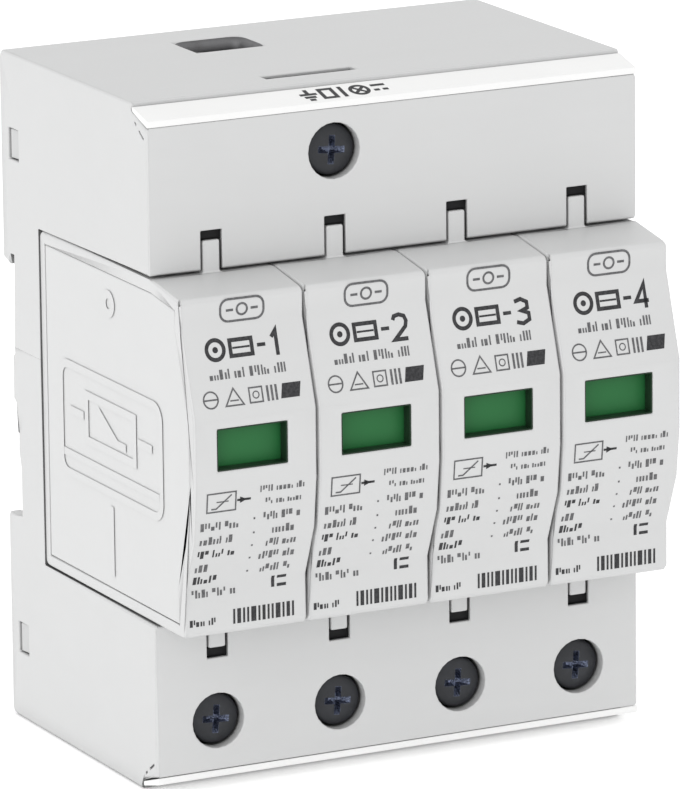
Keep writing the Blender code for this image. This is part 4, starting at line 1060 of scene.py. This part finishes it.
def addPrint(pole):
    left = poleMiddle(pole) / mm - module["halfPitch"]
    dark, grey = FlatMarks(), FlatMarks()
    hair, stroke, bold = printing["hair"], printing["stroke"], printing["boldStroke"]
    # badge: a rounded outline with a ring and two dashes
    grey.roundBox(5.7, 18.15, 11.75, 21.0, 1.1, 0.3)
    grey.arc((8.72, 19.58), 0.72, 0.28, 0, 360, 20)
    grey.bar(6.5, 19.42, 7.5, 19.74)
    grey.bar(9.95, 19.42, 10.95, 19.74)
    # bold row: a socket ring, a fuse-like box with its wire, a dash and the pole's number
    dark.arc((4.5, 14.9), 1.2, bold, 0, 360, 30)
    dark.arc((4.5, 14.9), 0.2, 0.36, 0, 360, 12)
    dark.line([(6.6, 13.95), (9.6, 13.95), (9.6, 15.85), (6.6, 15.85)], bold, True)
    dark.bar(6.9, 14.78, 9.3, 15.02)
    dark.bar(10.35, 14.68, 11.5, 15.12)
    dark.line([(12.15 + 1.85 * u, 13.4 + 3.0 * z) for u, z in numerals[pole]], bold)
    # fine row, and the row of small outlines that ends in a dark block
    grey.ticks(3.2, 13.9, 11.9, 1.2, 11, 0.22)
    grey.arc((2.9, 9.0), 1.0, stroke)
    grey.bar(1.95, 8.9, 3.85, 9.1)
    grey.line([(4.9, 8.05), (6.15, 10.1), (7.4, 8.05)], stroke, True)
    grey.bar(5.55, 8.55, 6.75, 8.72)
    grey.line([(8.3, 8.1), (10.1, 8.1), (10.1, 9.9), (8.3, 9.9)], stroke, True)
    grey.arc((9.2, 9.0), 0.42, hair, 0, 360, 16)
    grey.bars(10.7, 12.2, 9.0, 1.9, (1, 1, 1), 0.9)
    dark.fill(((12.6, 8.15), (15.2, 8.15), (15.6, 9.95), (13.0, 9.95)))
    # varistor symbol with its lead, and two rows beside it
    grey.line([(1.9, -5.4), (5.9, -5.4), (5.9, -2.95), (1.9, -2.95)], stroke, True)
    grey.line([(2.5, -5.0), (3.2, -5.0), (5.3, -3.3)], stroke)
    grey.bar(3.2, -4.2, 4.9, -4.05)
    dark.bar(6.1, -4.32, 8.0, -4.02)
    dark.fill(((6.5, -4.6), (7.5, -4.17), (6.5, -3.75)))
    grey.ticks(9.3, 15.5, -3.1, 0.85, 23)
    grey.ticks(10.1, 15.3, -4.8, 0.85, 29)
    # two columns of small rows, with dots between them
    for number, (z, end) in enumerate(printing["leftRows"]):
        (dark if number in (2, 4) else grey).ticks(1.1, end, z, 1.05, 40 + number)
    for number, (z, start) in enumerate(printing["rightRows"]):
        grey.ticks(start, 15.2, z, 1.05, 60 + number)
        grey.bar(8.5, z - 0.25, 8.75, z)
    dark.bar(12.3, -17.1, 12.75, -15.6)
    dark.bar(13.1, -17.1, 14.4, -16.7)
    dark.bar(13.1, -16.0, 14.4, -15.6)
    # bottom line: ticks, then plain bars
    dark.ticks(0.8, 4.6, -20.5, 0.9, 71)
    dark.bars(6.9, 15.5, -20.25, 1.95, printing["cells"], 0.3)

    def onFront(u, z):
        return Vector((left + u, frontAt(z) - printing["lift"], z)) * mm

    for name, marks, ink in (("dark_print", dark, "darkInk"), ("grey_print", grey, "greyInk")):
        piece = marks.lay("%s_%d" % (name, pole), finish[ink], onFront, creaseHeights)
        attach(piece, "module_%d" % pole)


for pole in poles:
    addPrint(pole)
print("print made")

stripPrint = {
    "lift": 0.02, "stroke": 0.56,
    "earth": -11.2, "box": -8.5, "bar": -6.4, "lamp": -4.0, "pair": -1.1,
}


def addStripPrint():
    # wiring symbols on the upper strip: earth, a box, a slash, a lamp and a pair of lines
    low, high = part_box("label_strip_top")
    verts = nodes["label_strip_top"].data.vertices
    edge = [vert.co.z for vert in verts if vert.co.y < low.y + 0.01 * mm]
    front = Vector((0, low.y, max(edge)))
    back = Vector((0, high.y, high.z))
    along = (back - front).normalized()
    out = Vector((1, 0, 0)).cross(along)
    middle = (front + back) / 2
    marks = FlatMarks()
    w = stripPrint["stroke"]
    u = stripPrint["earth"]
    marks.bar(u - w / 2, 0.4, u + w / 2, 1.55)
    for reach, level in ((1.2, 0.2), (0.8, -0.6), (0.42, -1.35)):
        marks.bar(u - reach, level - w / 2, u + reach, level + w / 2)
    u = stripPrint["box"]
    marks.line([(u - 0.85, -1.2), (u + 0.85, -1.2), (u + 0.85, 1.2), (u - 0.85, 1.2)], w, True)
    u = stripPrint["bar"]
    marks.bar(u - w / 2, -1.45, u + w / 2, 1.45)
    u = stripPrint["lamp"]
    marks.arc((u, 0), 1.2, w * 0.9, 0, 360, 28)
    marks.line([(u - 0.75, -0.75), (u + 0.75, 0.75)], w * 0.8)
    marks.line([(u - 0.75, 0.75), (u - 0.14, 0.14)], w * 0.8)
    marks.line([(u + 0.14, -0.14), (u + 0.75, -0.75)], w * 0.8)
    u = stripPrint["pair"]
    marks.bar(u - 1.0, 0.55, u + 1.0, 0.55 + w)
    marks.bar(u - 1.0, -0.75, u - 0.22, -0.75 + w)
    marks.bar(u + 0.22, -0.75, u + 1.0, -0.75 + w)

    def onStrip(u, v):
        flat = Vector((u * mm, middle.y, middle.z)) + along * (v * mm)
        return flat + out * (stripPrint["lift"] * mm)

    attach(marks.lay("strip_print", finish["darkInk"], onStrip), "base")


addStripPrint()

emboss = {"height": 0.13, "slope": 0.46, "width": 1.1}


def addEmboss(pole):
    # raised lines on the module's flat left side
    side = (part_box("module_side_cover_%d" % pole)[0].x) / mm
    marks = FlatMarks()
    w = emboss["width"]
    marks.roundBox(-44.0, -8.1, -14.1, 6.4, 1.9, w)
    marks.line([(-43.4, -5.5), (-14.7, -5.5)], w * 0.9)
    marks.line([(-29.0, 8.9), (-29.0, 15.5)], w)
    marks.arc((-29.0, 16.9), 1.25, w, 0, 360, 24)
    marks.line([(-29.0, -9.8), (-29.0, -19.1)], w)
    # a varistor's plain circuit symbol inside the frame
    marks.line([(-36.2, -2.6), (-21.8, -2.6), (-21.8, 3.4), (-36.2, 3.4)], w, True)
    marks.line([(-33.6, -1.2), (-31.0, -1.2), (-25.2, 2.1)], w)
    marks.line([(-16.6, 0.4), (-20.9, 0.4)], w)
    marks.line([(-37.1, 0.4), (-41.4, 0.4)], w)

    def onSide(y, z, out=0):
        return Vector((side - out + 0.005, y, z)) * mm

    name, surface = "side_emboss_%d" % pole, finish["modulePlastic"]
    piece = marks.ridge(name, surface, onSide, emboss["height"], emboss["slope"])
    piece.data.shade_smooth()
    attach(piece, "module_%d" % pole)


for pole in poles:
    addEmboss(pole)
print("raised lines made")


light = {
    "world": 1.0, "floor": (0.93, 0.93, 0.93), "floorGlow": 0.25,
    "suns": (("key", 0.76, (-0.86, -0.36, 0.36), 55), ("fill", 0.18, (-0.30, -0.95, 0.05), 70)),
}


def addStage():
    build = bmesh.new()
    bmesh.ops.create_grid(build, x_segments=8, y_segments=8, size=4)
    bmesh.ops.translate(build, verts=build.verts, vec=(0, 0, cadLow.z - 0.05 * mm))
    glow = {"Emission_Color": (1, 1, 1), "Emission_Strength": light["floorGlow"]}
    paint = Paint("paleFloor", Specular_IOR_Level=0.1, **glow)
    cloud = paint.noise(60, 3)
    colour = paint.mixColour(cloud, light["floor"], tuple(part * 0.985 for part in light["floor"]))
    floor = newPiece("floor", build, paint.cover(Base_Color=colour, Roughness=0.8 + 0.1 * cloud))
    world = bpy.data.worlds.new("studio")
    world.use_nodes = True
    world.node_tree.nodes["Background"].inputs["Color"].default_value = (1, 1, 1, 1)
    world.node_tree.nodes["Background"].inputs["Strength"].default_value = light["world"]
    bpy.context.scene.world = world
    for name, strength, place, spread in light["suns"]:
        lamp = bpy.data.lights.new(name, "SUN")
        lamp.energy = strength
        lamp.angle = math.radians(spread)
        sun = bpy.data.objects.new(name, lamp)
        sun.rotation_mode = "QUATERNION"
        sun.rotation_quaternion = Vector(place).to_track_quat("Z", "Y")
        bpy.context.scene.collection.objects.link(sun)
    bpy.context.scene.view_settings.view_transform = "Standard"


addStage()
print("stage and light set")
